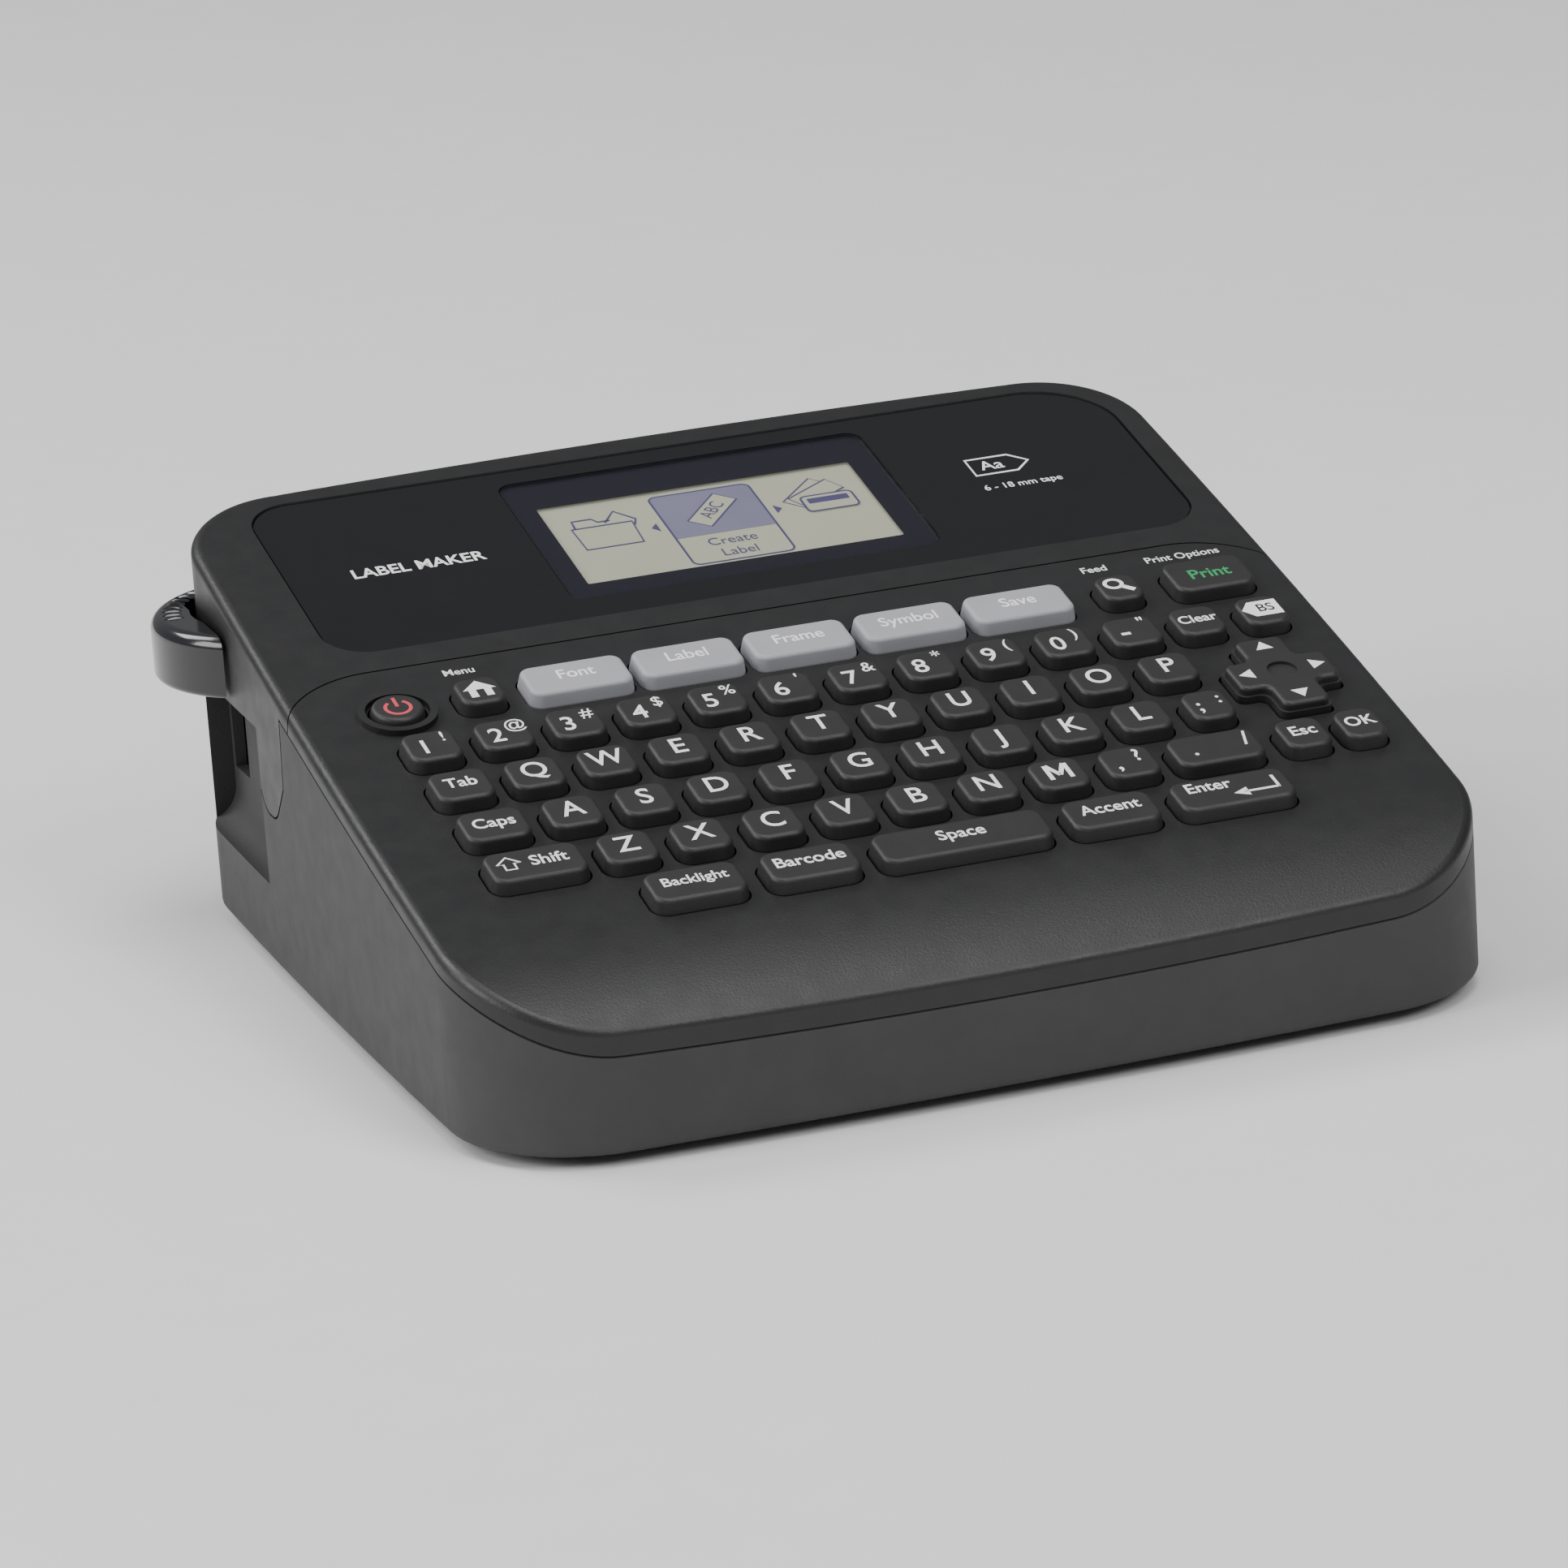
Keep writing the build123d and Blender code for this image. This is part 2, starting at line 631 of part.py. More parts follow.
# ---------------------------------------------------------------- chassis that holds the print unit
plate_z = cassette_top + bay_gap + 1.0            # underside of the chassis plate
plate_top = plate_z + chassis_thick
bay_x0, bay_x1 = cassette_x0 - bay_gap, cassette_x1 + bay_gap
bay_y0, bay_y1 = cassette_y0 - bay_gap, rear_face - wall - end_bulge - 0.6
gear_z = plate_top + 0.4
platen_x = left_face + platen_from_left
platen_y = tape_y + tape_thick / 2 + platen_radius + 0.05
head_y = tape_y - tape_thick / 2 - 0.05
motor_x, motor_y = left_face + wall + motor_radius + 0.4, pocket_front - 2.2 - motor_radius - 1.4


def pitch(teeth):
    """Pitch radius of a gear with this many teeth."""
    return gear_module * teeth / 2


def place_from(x, y, reach, angle):
    return (x + reach * math.cos(math.radians(angle)), y + reach * math.sin(math.radians(angle)))


def meeting_point(a, reach_a, b, reach_b):
    """The point at these distances from a and b, on the right of the way from a to b."""
    span = math.dist(a, b)
    along = (reach_a ** 2 - reach_b ** 2 + span ** 2) / (2 * span)
    aside = math.sqrt(max(reach_a ** 2 - along ** 2, 0.0))
    ux, uy = (b[0] - a[0]) / span, (b[1] - a[1]) / span
    return (a[0] + along * ux + aside * uy, a[1] + along * uy - aside * ux)


pinion_at = (motor_x, motor_y)
platen_at = (platen_x, platen_y)
drive_at = place_from(*pinion_at, pitch(pinion_teeth) + pitch(drive_teeth), 52)
idler_at = meeting_point(drive_at, pitch(drive_teeth) + pitch(idler_teeth),
                         platen_at, pitch(idler_teeth) + pitch(platen_teeth))
take_up_at = place_from(*drive_at, pitch(drive_teeth) + pitch(take_up_teeth), -12)


def bearing(a, b):
    """Direction from a to b, in degrees."""
    return math.degrees(math.atan2(b[1] - a[1], b[0] - a[0]))


def mesh_turn(turn, teeth, at, next_teeth, next_at):
    """How far the next gear is turned, so that its gap takes the tooth of the gear before it."""
    ahead = bearing(at, next_at)
    share = ((ahead - turn) / (360 / teeth)) % 1.0
    return ahead + 180 - (0.5 - share) * 360 / next_teeth


drive_turn = 0.0
pinion_turn = mesh_turn(drive_turn, drive_teeth, drive_at, pinion_teeth, pinion_at)
idler_turn = mesh_turn(drive_turn, drive_teeth, drive_at, idler_teeth, idler_at)
platen_turn = mesh_turn(idler_turn, idler_teeth, idler_at, platen_teeth, platen_at)
take_up_turn = mesh_turn(drive_turn, drive_teeth, drive_at, take_up_teeth, take_up_at)


def gear_blank(teeth, at, turn, bore):
    """A spur gear with straight-sided approximations of involute teeth, at the gear level."""
    r_pitch = pitch(teeth)
    r_tip, r_root = r_pitch + 0.85 * gear_module, r_pitch - 1.2 * gear_module
    half = 90.0 / teeth - math.degrees(0.07 / r_pitch)         # half a tooth at the pitch circle
    tip_half = half - math.degrees(0.85 * gear_module * math.tan(math.radians(22)) / r_tip)
    root_half = half + math.degrees(0.9 * gear_module * math.tan(math.radians(18)) / r_root)
    points = []
    for n in range(teeth):
        middle = turn + n * 360 / teeth
        for radius, angle in ((r_root, middle - root_half), (r_pitch, middle - half),
                              (r_tip, middle - tip_half), (r_tip, middle + tip_half),
                              (r_pitch, middle + half), (r_root, middle + root_half)):
            points.append(place_from(*at, radius, angle))
    with BuildPart() as gear:
        with BuildSketch(Plane.XY.offset(gear_z)):
            with BuildLine():
                Polyline(*points, close=True)
            make_face()
            if bore:
                with Locations(at):
                    Circle(bore, mode=Mode.SUBTRACT)
        extrude(amount=gear_thick)
        if teeth > 30:                                # a web thinner than the rim
            for z in (gear_z, gear_z + gear_thick - 0.8):
                with BuildSketch(Plane.XY.offset(z)):
                    with Locations(at):
                        Circle(r_root - 1.6)
                        Circle(3.6, mode=Mode.SUBTRACT)
                extrude(amount=0.8, mode=Mode.SUBTRACT)
    return gear.part


post_radius = shaft_radius - running
gear_top = gear_z + gear_thick
post_top = gear_top + 0.5
lever_room = box(far_left, left_face + 21.5, rear_face - 12, rear_face, floor_top, tall)
under_boards = under_deck_block(deck_wall + 1.0, 0)

with BuildPart() as chassis:
    with BuildSketch(Plane.XY.offset(plate_z)):                   # plate over the cassette
        with Locations(((bay_x0 + bay_x1) / 2, (bay_y0 - bay_wall + bay_y1) / 2)):
            Rectangle(bay_x1 - bay_x0 + 2 * bay_wall, bay_y1 - bay_y0 + bay_wall)
        with Locations(pinion_at):                                # tongue that carries the motor
            Circle(motor_radius)
        with BuildLine():
            Polyline((motor_x, motor_y - motor_radius), (bay_x0 + 1, motor_y - motor_radius),
                     (bay_x0 + 1, motor_y + motor_radius), (motor_x, motor_y + motor_radius),
                     close=True)
        make_face()
    extrude(amount=chassis_thick)
    add(box(bay_x0 - bay_wall, bay_x1 + bay_wall, bay_y0 - bay_wall, bay_y0, floor_top + 1, plate_z))
    add(box(bay_x1, bay_x1 + bay_wall, bay_y0 - bay_wall, bay_y1, floor_top + 1, plate_z))
    add(box(bay_x0 - bay_wall, bay_x0, bay_y0 - bay_wall, tape_y - 9, floor_top + 1, plate_z))
    for at in (drive_at, idler_at):                               # posts the idle gears turn on
        with BuildSketch(Plane.XY.offset(plate_top)):
            with Locations(at):
                Circle(post_radius)
        extrude(amount=post_top - plate_top)
    with BuildSketch(Plane.XY.offset(plate_z - 1)):
        with Locations(pinion_at):
            Circle(2.2)
        with Locations(platen_at, take_up_at):
            Circle(shaft_radius + running)
    extrude(amount=chassis_thick + 2, mode=Mode.SUBTRACT)
    add(lever_room, mode=Mode.SUBTRACT)
    add(under_boards, mode=Mode.INTERSECT)
save(chassis, "chassis")

pinion = gear_blank(pinion_teeth, pinion_at, pinion_turn, 0)
with BuildPart() as motor_pinion:
    add(pinion)
    with BuildSketch(Plane.XY.offset(plate_z - 1.0)):             # motor shaft under the pinion
        with Locations(pinion_at):
            Circle(1.0)
    extrude(amount=gear_z - plate_z + 1.0)
save(motor_pinion, "motor_pinion")

with BuildPart() as drive_motor:
    motor_low = plate_z - motor_height
    with BuildSketch(Plane.XY.offset(motor_low)):
        with Locations(pinion_at):
            Circle(motor_radius)
    extrude(amount=motor_height)
    fillet(drive_motor.edges(), 0.7)
    with BuildSketch(Plane.XY.offset(plate_z - 2)):
        with Locations(pinion_at):
            Circle(1.0 + running)
    extrude(amount=3, mode=Mode.SUBTRACT)
    with BuildSketch(Plane.XY.offset(motor_low - 1.5)):
        with Locations(pinion_at):
            Circle(2.6)
    extrude(amount=1.5)
save(drive_motor, "drive_motor")

drive = gear_blank(drive_teeth, drive_at, drive_turn, shaft_radius)
with BuildPart() as drive_gear:
    add(drive)
save(drive_gear, "drive_gear")

idler = gear_blank(idler_teeth, idler_at, idler_turn, shaft_radius)
with BuildPart() as idler_gear:
    add(idler)
save(idler_gear, "idler_gear")

platen_wheel = gear_blank(platen_teeth, platen_at, platen_turn, 0)
with BuildPart() as platen_gear:                  # the gear and the shaft that it is pressed on
    add(platen_wheel)
    with BuildSketch(Plane.XY.offset(cassette_base - 1.5)):
        with Locations(platen_at):
            Circle(shaft_radius)
    extrude(amount=post_top - cassette_base + 1.5)
save(platen_gear, "platen_gear")

with BuildPart() as platen_roller:
    with BuildSketch(Plane.XY.offset(tape_low - 2)):
        with Locations(platen_at):
            Circle(platen_radius)
            Circle(shaft_radius, mode=Mode.SUBTRACT)
    extrude(amount=tape_width + 4)
    chamfer(platen_roller.edges().filter_by(lambda e: e.length > 6 * platen_radius), 0.4)
save(platen_roller, "platen_roller")

take_up = gear_blank(take_up_teeth, take_up_at, take_up_turn, 0)
with BuildPart() as take_up_gear:
    add(take_up)
    with BuildSketch(Plane.XY.offset(cassette_base + 3)):         # spindle that turns the ribbon core
        with Locations(take_up_at):
            Circle(shaft_radius)
    extrude(amount=gear_z - cassette_base - 3)
    with BuildSketch(Plane.XY.offset(cassette_base + 3)):         # three driving ribs on it
        with Locations(take_up_at):
            with PolarLocations(shaft_radius + 0.3, 3):
                Rectangle(1.6, 0.9)
    extrude(amount=cassette_thick - 6)
save(take_up_gear, "take_up_gear")

# ---------------------------------------------------------------- print head
head_x0, head_x1 = platen_x - 5.5, platen_x + 5.5
with BuildPart() as print_head:
    add(box(head_x0, head_x1, head_y - 1.6, head_y, tape_low - 2, tape_high + 2))
save(print_head, "print_head")

with BuildPart() as heat_sink:
    add(box(head_x0, head_x1, head_y - 3.2, head_y - 1.6, tape_low - 2, plate_z))
    add(box(head_x0, head_x1 + 3, head_y - 7.2, head_y - 3.2, plate_z - 1.6, plate_z))
save(heat_sink, "heat_sink")

# ---------------------------------------------------------------- tape cassette
notch_x = cassette_x0 + cassette_notch_x
notch_y = cassette_y1 - cassette_notch_y
supply_at = (cassette_x1 - 24.5, cassette_y0 + 36.0)
ribbon_at = (cassette_x0 + 34.0, cassette_y1 - 11.5)
case_split = cassette_base + cassette_thick * 0.55
supply_radius, ribbon_radius, take_up_radius = 21.0, 8.5, 5.2
core_radius = 3.4


def cassette_plan(z, inset):
    """The cassette's outline: a rounded block with one corner open for the print head."""
    with BuildSketch(Plane.XY.offset(z)) as plan:
        with BuildLine():
            Polyline((cassette_x0, cassette_y0), (cassette_x1, cassette_y0),
                     (cassette_x1, cassette_y1), (notch_x, cassette_y1), (notch_x, notch_y),
                     (cassette_x0, notch_y), close=True)
        make_face()
        fillet(plan.vertices(), 2.6)
        if inset:
            offset(amount=-inset)
    return plan.sketch


def cassette_half(z0, z1, plate_low):
    """One half of the case: a plate and the wall that stands on it."""
    plate_z0 = z0 if plate_low else z1 - cassette_wall
    hollow_z0 = z0 + cassette_wall if plate_low else z0
    outside = cassette_plan(z0, 0)
    inside = cassette_plan(hollow_z0, cassette_wall)
    with BuildPart() as half:
        add(outside)
        extrude(amount=z1 - z0)
        add(inside)
        extrude(amount=z1 - z0 - cassette_wall, mode=Mode.SUBTRACT)
        with BuildSketch(Plane.XY.offset(plate_z0 - 1)):
            with Locations(take_up_at):
                Circle(core_radius + 0.2)
            with Locations(supply_at, ribbon_at):
                Circle(core_radius - 2.4)
        extrude(amount=cassette_wall + 2, mode=Mode.SUBTRACT)
        add(box(notch_x - 1, notch_x + cassette_wall + 1, tape_y - 1.2, tape_y + 1.2,
                tape_low - 0.8, tape_high + 0.8), mode=Mode.SUBTRACT)
    return half.part


lower_half = cassette_half(cassette_base, case_split - 0.05, True)
with BuildPart() as cassette_case:
    add(lower_half)
    with BuildSketch(Plane.XY.offset(cassette_base + cassette_wall)):     # posts the rolls turn on
        with Locations(supply_at, ribbon_at):
            Circle(core_radius - 0.9)
            Circle(core_radius - 1.9, mode=Mode.SUBTRACT)
    extrude(amount=cassette_thick - 2 * cassette_wall - 1.0)
save(cassette_case, "cassette_case")

upper_half = cassette_half(case_split + 0.05, cassette_top, False)
with BuildPart() as cassette_lid:
    add(upper_half)
save(cassette_lid, "cassette_lid")


def roll(at, radius, bore, width):
    """A wound roll on its core, centred in the cassette's thickness."""
    middle = cassette_base + cassette_thick / 2
    with BuildPart() as wound:
        with BuildSketch(Plane.XY.offset(middle - width / 2)):
            with Locations(at):
                Circle(radius)
                Circle(bore, mode=Mode.SUBTRACT)
        extrude(amount=width)
        with BuildSketch(Plane.XY.offset(middle - width / 2 - 0.9)):
            with Locations(at):
                Circle(bore + 1.6)
                Circle(bore, mode=Mode.SUBTRACT)
        extrude(amount=width + 1.8)
    return wound.part


tape_wound = roll(supply_at, supply_radius, core_radius - 0.9 + running, tape_width)
with BuildPart() as tape_roll:
    add(tape_wound)
save(tape_roll, "tape_roll")

ribbon_wound = roll(ribbon_at, ribbon_radius, core_radius - 0.9 + running, tape_width)
with BuildPart() as ribbon_roll:
    add(ribbon_wound)
save(ribbon_roll, "ribbon_roll")

core_wound = roll(take_up_at, take_up_radius, shaft_radius + 1.3, tape_width)
with BuildPart() as take_up_core:
    add(core_wound)
save(take_up_core, "take_up_core")

cutter_x = left_face + 13.0
with BuildPart() as label_tape:
    add(box(cutter_x + 3.2, notch_x + cassette_wall + 4, tape_y - tape_thick / 2,
            tape_y + tape_thick / 2, tape_low, tape_high))
save(label_tape, "label_tape")

# ---------------------------------------------------------------- cutter
with BuildPart() as cutter_anvil:                 # fixed block with a groove for the edge
    add(box(cutter_x - 3, cutter_x + 3, tape_y - 6.5, tape_y - 0.6, tape_low - 3, plate_z + 0.6))
    add(box(cutter_x - 0.6, cutter_x + 0.6, tape_y - 4.2, tape_y, tape_low - 4, tape_high + 2),
        mode=Mode.SUBTRACT)
    add(box(cutter_x + 3, bay_x0 - bay_wall, tape_y - 12, tape_y - 1.5, plate_z - 1.4, plate_z + 0.6))
save(cutter_anvil, "cutter_anvil")

edge_y = tape_y + 0.6
with BuildPart() as cutter_blade:
    with BuildSketch(Plane.XY.offset(tape_low - 1)):
        with BuildLine():
            Polyline((cutter_x, edge_y), (cutter_x + 0.3, edge_y + 1.2), (cutter_x + 0.3, edge_y + 5),
                     (cutter_x - 0.3, edge_y + 5), (cutter_x - 0.3, edge_y + 1.2), close=True)
        make_face()
    extrude(amount=tape_width + 2)
save(cutter_blade, "cutter_blade")

with BuildPart() as blade_carrier:
    add(box(cutter_x - 2.4, cutter_x + 2.4, edge_y + 2.6, edge_y + 8.6, tape_low - 2, tape_high + 2))
    add(box(cutter_x - 0.3, cutter_x + 0.3, edge_y - 1, edge_y + 5, tape_low - 1, tape_high + 1),
        mode=Mode.SUBTRACT)
save(blade_carrier, "blade_carrier")

pivot_y, pivot_z = pocket_front + 12.0, lever_top - 3.8
lever_centre = (left + lever_radius, rear_face - 0.2 - lever_radius)
arm_x0, arm_x1 = left_face + 7.4, left_face + 9.9
with BuildPart() as cutter_lever:
    with BuildSketch(Plane.XY.offset(lever_top - 11)):            # ear round the rear left corner
        with Locations(lever_centre):
            Circle(lever_radius)
            Circle(lever_radius - 7, mode=Mode.SUBTRACT)
    extrude(amount=11)
    fillet(cutter_lever.edges().group_by(Axis.Z)[-1].sort_by(SortBy.LENGTH)[-1:], 2.4)
    fillet(cutter_lever.edges().group_by(Axis.Z)[0].sort_by(SortBy.LENGTH)[-1:], 1.2)
    add(box(left_face - 0.4, 0, front_face, pocket_rear + 4.4, 0, tall), mode=Mode.SUBTRACT)
    add(box(left_face + 19.5, -far_left, front_face, rear_face + 5, 0, tall), mode=Mode.SUBTRACT)
    add(box(arm_x0, arm_x1, pivot_y, rear_face - 4.5, pivot_z - 1.8, pivot_z + 1.8))
    with BuildSketch(Plane.YZ.offset(arm_x0)):
        with Locations((pivot_y, pivot_z)):
            Circle(3.0)
    extrude(amount=arm_x1 - arm_x0)
    with BuildSketch(Plane.YZ.offset(arm_x0 - 1)):
        with Locations((pivot_y, pivot_z)):
            Circle(shaft_radius)
    extrude(amount=arm_x1 - arm_x0 + 2, mode=Mode.SUBTRACT)
save(cutter_lever, "cutter_lever")

with BuildPart() as lever_pin:
    with BuildSketch(Plane.YZ.offset(left_face + wall + 0.8)):
        with Locations((pivot_y, pivot_z)):
            Circle(shaft_radius - running)
    extrude(amount=bay_x0 - bay_wall - left_face - wall - 0.8)
save(lever_pin, "lever_pin")
# ---------------------------------------------------------------- batteries
columns, layers = 3, 2
cell_pitch = 2 * battery_radius + battery_gap
tray_x1 = right_face - battery_right
tray_x0 = tray_x1 - columns * cell_pitch - 1.0
tray_y1 = rear_face - battery_rear
spring_room = 4.0
tray_y0 = tray_y1 - battery_length - 2 * spring_room
tray_z0 = floor_top + 1.2
tray_z1 = tray_z0 + layers * cell_pitch + 1.0
cells = [(tray_x0 + 0.5 + (n + 0.5) * cell_pitch, tray_z0 + (m + 0.5) * cell_pitch)
         for n in range(columns) for m in range(layers)]
with BuildPart() as battery_box:
    add(box(tray_x0 - 1.4, tray_x1 + 1.4, tray_y0 - 1.4, tray_y1 + 1.4, tray_z0, tray_z1 + 1.4))
    add(box(tray_x0, tray_x1, tray_y0, tray_y1, tray_z0 - 1, tray_z1), mode=Mode.SUBTRACT)
save(battery_box, "battery_box")

with BuildPart() as batteries:
    for n, (x, z) in enumerate(cells):
        forward = 1 if n % 2 else -1
        nose = 1.0
        y0 = (tray_y0 + tray_y1) / 2 - forward * battery_length / 2
        with BuildSketch(Plane(origin=(x, y0, z), x_dir=(1, 0, 0), z_dir=(0, forward, 0))):
            Circle(battery_radius)
        extrude(amount=battery_length - nose)
        with BuildSketch(Plane(origin=(x, y0, z), x_dir=(1, 0, 0), z_dir=(0, forward, 0))):
            Circle(2.7)
        extrude(amount=battery_length)
save(batteries, "batteries")

with BuildPart() as battery_contacts:
    for y in (tray_y0 + 0.1, tray_y1 - 0.5):
        for x, z in cells:
            with BuildSketch(Plane(origin=(x, y, z), x_dir=(1, 0, 0), z_dir=(0, 1, 0))):
                RectangleRounded(cell_pitch - 3, cell_pitch - 3, 1)
            extrude(amount=0.4)
save(battery_contacts, "battery_contacts")

# ---------------------------------------------------------------- sockets and screws
socket_x = right_face - socket_deep
socket_length = socket_deep - 1.6               # both stop just inside the housing's face
with BuildPart() as dc_jack:
    with BuildSketch(Plane.YZ.offset(socket_x)):
        with Locations((jack_y, socket_z)):
            Circle(jack_radius)
    extrude(amount=socket_length)
    with BuildSketch(Plane.YZ.offset(socket_x + socket_back)):
        with Locations((jack_y, socket_z)):
            Circle(jack_bore)
            Circle(jack_pin, mode=Mode.SUBTRACT)
    extrude(amount=socket_length, mode=Mode.SUBTRACT)
save(dc_jack, "dc_jack")

tongue_width, tongue_thick = usb_width - 3.2, 1.0
with BuildPart() as usb_socket:
    with BuildSketch(Plane.YZ.offset(socket_x)):
        with Locations((usb_y, socket_z)):
            RectangleRounded(usb_width, usb_height, 0.7)
    extrude(amount=socket_length)
    with BuildSketch(Plane.YZ.offset(socket_x + socket_back)):
        with Locations((usb_y, socket_z)):
            RectangleRounded(usb_width - 2 * usb_shell, usb_height - 2 * usb_shell, 0.5)
            Rectangle(tongue_width, tongue_thick, mode=Mode.SUBTRACT)
    extrude(amount=socket_length, mode=Mode.SUBTRACT)
save(usb_socket, "usb_socket")

with BuildPart() as case_screws:
    head_low = head_seat - screw_head_high
    for x, y in boss_places:
        with BuildSketch(Plane.XY.offset(head_low)):
            with Locations((x, y)):
                Circle(screw_head_radius)
        extrude(amount=screw_head_high)
        with BuildSketch(Plane.XY.offset(head_seat)):
            with Locations((x, y)):
                Circle(screw_radius)
        extrude(amount=screw_length)
        for turn in (0, 90):                                      # cross slot
            with BuildSketch(Plane.XY.offset(head_low)):
                with Locations(Location((x, y, 0), turn)):
                    Rectangle(3.0, 0.7)
            extrude(amount=screw_head_high / 2, mode=Mode.SUBTRACT)
save(case_screws, "case_screws")

# ---------------------------------------------------------------- cassette release lever
release_at = (bay_x1 + bay_wall + 6.0, tape_y + 4)
with BuildPart() as release_lever:
    with BuildSketch(Plane.XY.offset(floor_top + 4)):
        with Locations(release_at):
            Circle(3.2)
        with Locations((release_at[0], release_at[1] - 7)):
            RectangleRounded(3.6, 14, 1.4)
    extrude(amount=3)
    with BuildSketch(Plane.XY.offset(floor_top + 7)):
        with Locations(release_at):
            Circle(2.0)
    extrude(amount=plate_z - floor_top - 9)
save(release_lever, "release_lever")
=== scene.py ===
# %% [markdown]
# This lesson dresses a desktop label maker. The machine's frame, covers, keys and moving parts come
# ready made and stay where they are. What is added here is what a maker prints, coats and lights:
# plastic grain, key legends, the lit display, and the camera. We start by loading the frame.

# %% Load the frame
import json
import math

import bpy
from mathutils import Matrix, Vector


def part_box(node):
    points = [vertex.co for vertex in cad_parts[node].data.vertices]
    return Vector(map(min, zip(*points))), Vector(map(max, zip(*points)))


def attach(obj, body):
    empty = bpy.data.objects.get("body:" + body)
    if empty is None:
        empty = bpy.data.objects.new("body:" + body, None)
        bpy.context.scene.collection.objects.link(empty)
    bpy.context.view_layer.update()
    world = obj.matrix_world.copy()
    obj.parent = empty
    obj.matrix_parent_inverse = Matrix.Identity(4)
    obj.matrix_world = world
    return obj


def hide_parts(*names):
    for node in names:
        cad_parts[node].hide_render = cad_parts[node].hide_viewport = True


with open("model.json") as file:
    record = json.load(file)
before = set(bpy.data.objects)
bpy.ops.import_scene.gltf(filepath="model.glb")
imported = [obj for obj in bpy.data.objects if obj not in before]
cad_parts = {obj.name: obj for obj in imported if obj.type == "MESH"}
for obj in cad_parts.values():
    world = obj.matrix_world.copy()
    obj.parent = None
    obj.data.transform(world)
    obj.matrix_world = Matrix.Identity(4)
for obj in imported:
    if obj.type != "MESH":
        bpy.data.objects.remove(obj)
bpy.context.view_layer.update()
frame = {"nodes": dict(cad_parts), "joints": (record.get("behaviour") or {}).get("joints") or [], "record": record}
nodes = frame["nodes"]
MM = 0.001

# %% [markdown]
# The deck of the machine slopes up towards the display, and everything printed on it is easiest to
# place in the deck's own directions: across, up the slope, and height above it. The keys travel
# straight down into the deck, so the direction of the power key's joint gives the slope.

# %% Deck directions
press = next(j["axis"] for j in frame["joints"] if j["child"] == "power_key")
deck_normal = -Vector(press).normalized()
deck_across = Vector((1, 0, 0))
deck_up = deck_normal.cross(deck_across)
base_low = Vector(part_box("base_shell")[0])
front_height = 27 * MM                       # table to the deck line at the front face
deck_corner = Vector((base_low.x, base_low.y, front_height))
DECK = Matrix.Translation(deck_corner) @ Matrix(
    (deck_across, deck_up, deck_normal)).transposed().to_4x4()
print("deck slope", round(math.degrees(math.acos(deck_normal.z)), 2), "degrees")

# %% [markdown]
# A finish is a small tree of nodes. Real moulded plastic is never one flat value: its grain bends
# the light, its gloss wanders a little, and its colour is slightly cloudy. One function makes all
# three from noise measured in real millimetres, and each finish only sets its own amounts.

# %% A function for moulded finishes
def finish(name, color, rough, grain=0.35, bump=0.15, cloud=0.05, rough_play=0.04, metal=0.0,
           coat=0.0):
    """A material with a fine grain, a wandering gloss and a slightly cloudy colour."""
    mat = bpy.data.materials.new(name)
    mat.use_nodes = True
    tree = mat.node_tree
    shader = tree.nodes["Principled BSDF"]
    shader.inputs["Metallic"].default_value = metal
    shader.inputs["Coat Weight"].default_value = coat
    shader.inputs["Coat Roughness"].default_value = 0.08
    place = tree.nodes.new("ShaderNodeTexCoord")

    def noise(size_mm, detail):
        node = tree.nodes.new("ShaderNodeTexNoise")
        node.inputs["Scale"].default_value = 1.0 / (size_mm * MM)
        node.inputs["Detail"].default_value = detail
        tree.links.new(place.outputs["Object"], node.inputs["Vector"])
        return node

    clouds = noise(14.0, 3.0)
    tint = tree.nodes.new("ShaderNodeValToRGB")
    low, high = 1.0 - cloud, 1.0 + cloud
    tint.color_ramp.elements[0].position = 0.3
    tint.color_ramp.elements[1].position = 0.7
    tint.color_ramp.elements[0].color = (*[c * low for c in color], 1)
    tint.color_ramp.elements[1].color = (*[min(c * high, 1.0) for c in color], 1)
    tree.links.new(clouds.outputs["Fac"], tint.inputs["Fac"])
    tree.links.new(tint.outputs["Color"], shader.inputs["Base Color"])

    patches = noise(5.0, 4.0)
    gloss = tree.nodes.new("ShaderNodeMapRange")
    gloss.inputs["From Min"].default_value = 0.3
    gloss.inputs["From Max"].default_value = 0.7
    gloss.inputs["To Min"].default_value = max(rough - rough_play, 0.02)
    gloss.inputs["To Max"].default_value = min(rough + rough_play, 1.0)
    tree.links.new(patches.outputs["Fac"], gloss.inputs["Value"])
    tree.links.new(gloss.outputs["Result"], shader.inputs["Roughness"])

    if bump:
        grains = noise(grain, 2.0)
        relief = tree.nodes.new("ShaderNodeBump")
        relief.inputs["Strength"].default_value = bump
        relief.inputs["Distance"].default_value = 0.05 * MM
        tree.links.new(grains.outputs["Fac"], relief.inputs["Height"])
        tree.links.new(relief.outputs["Normal"], shader.inputs["Normal"])
    return mat


# %% [markdown]
# The machine's palette. The housing is a coarse, dull charcoal, the deck a finer satin black, and
# the display surround a polished black. Keys are soft silicone rubber, which is duller and a touch
# lighter than the deck, so that they stand out from it without any change of hue.

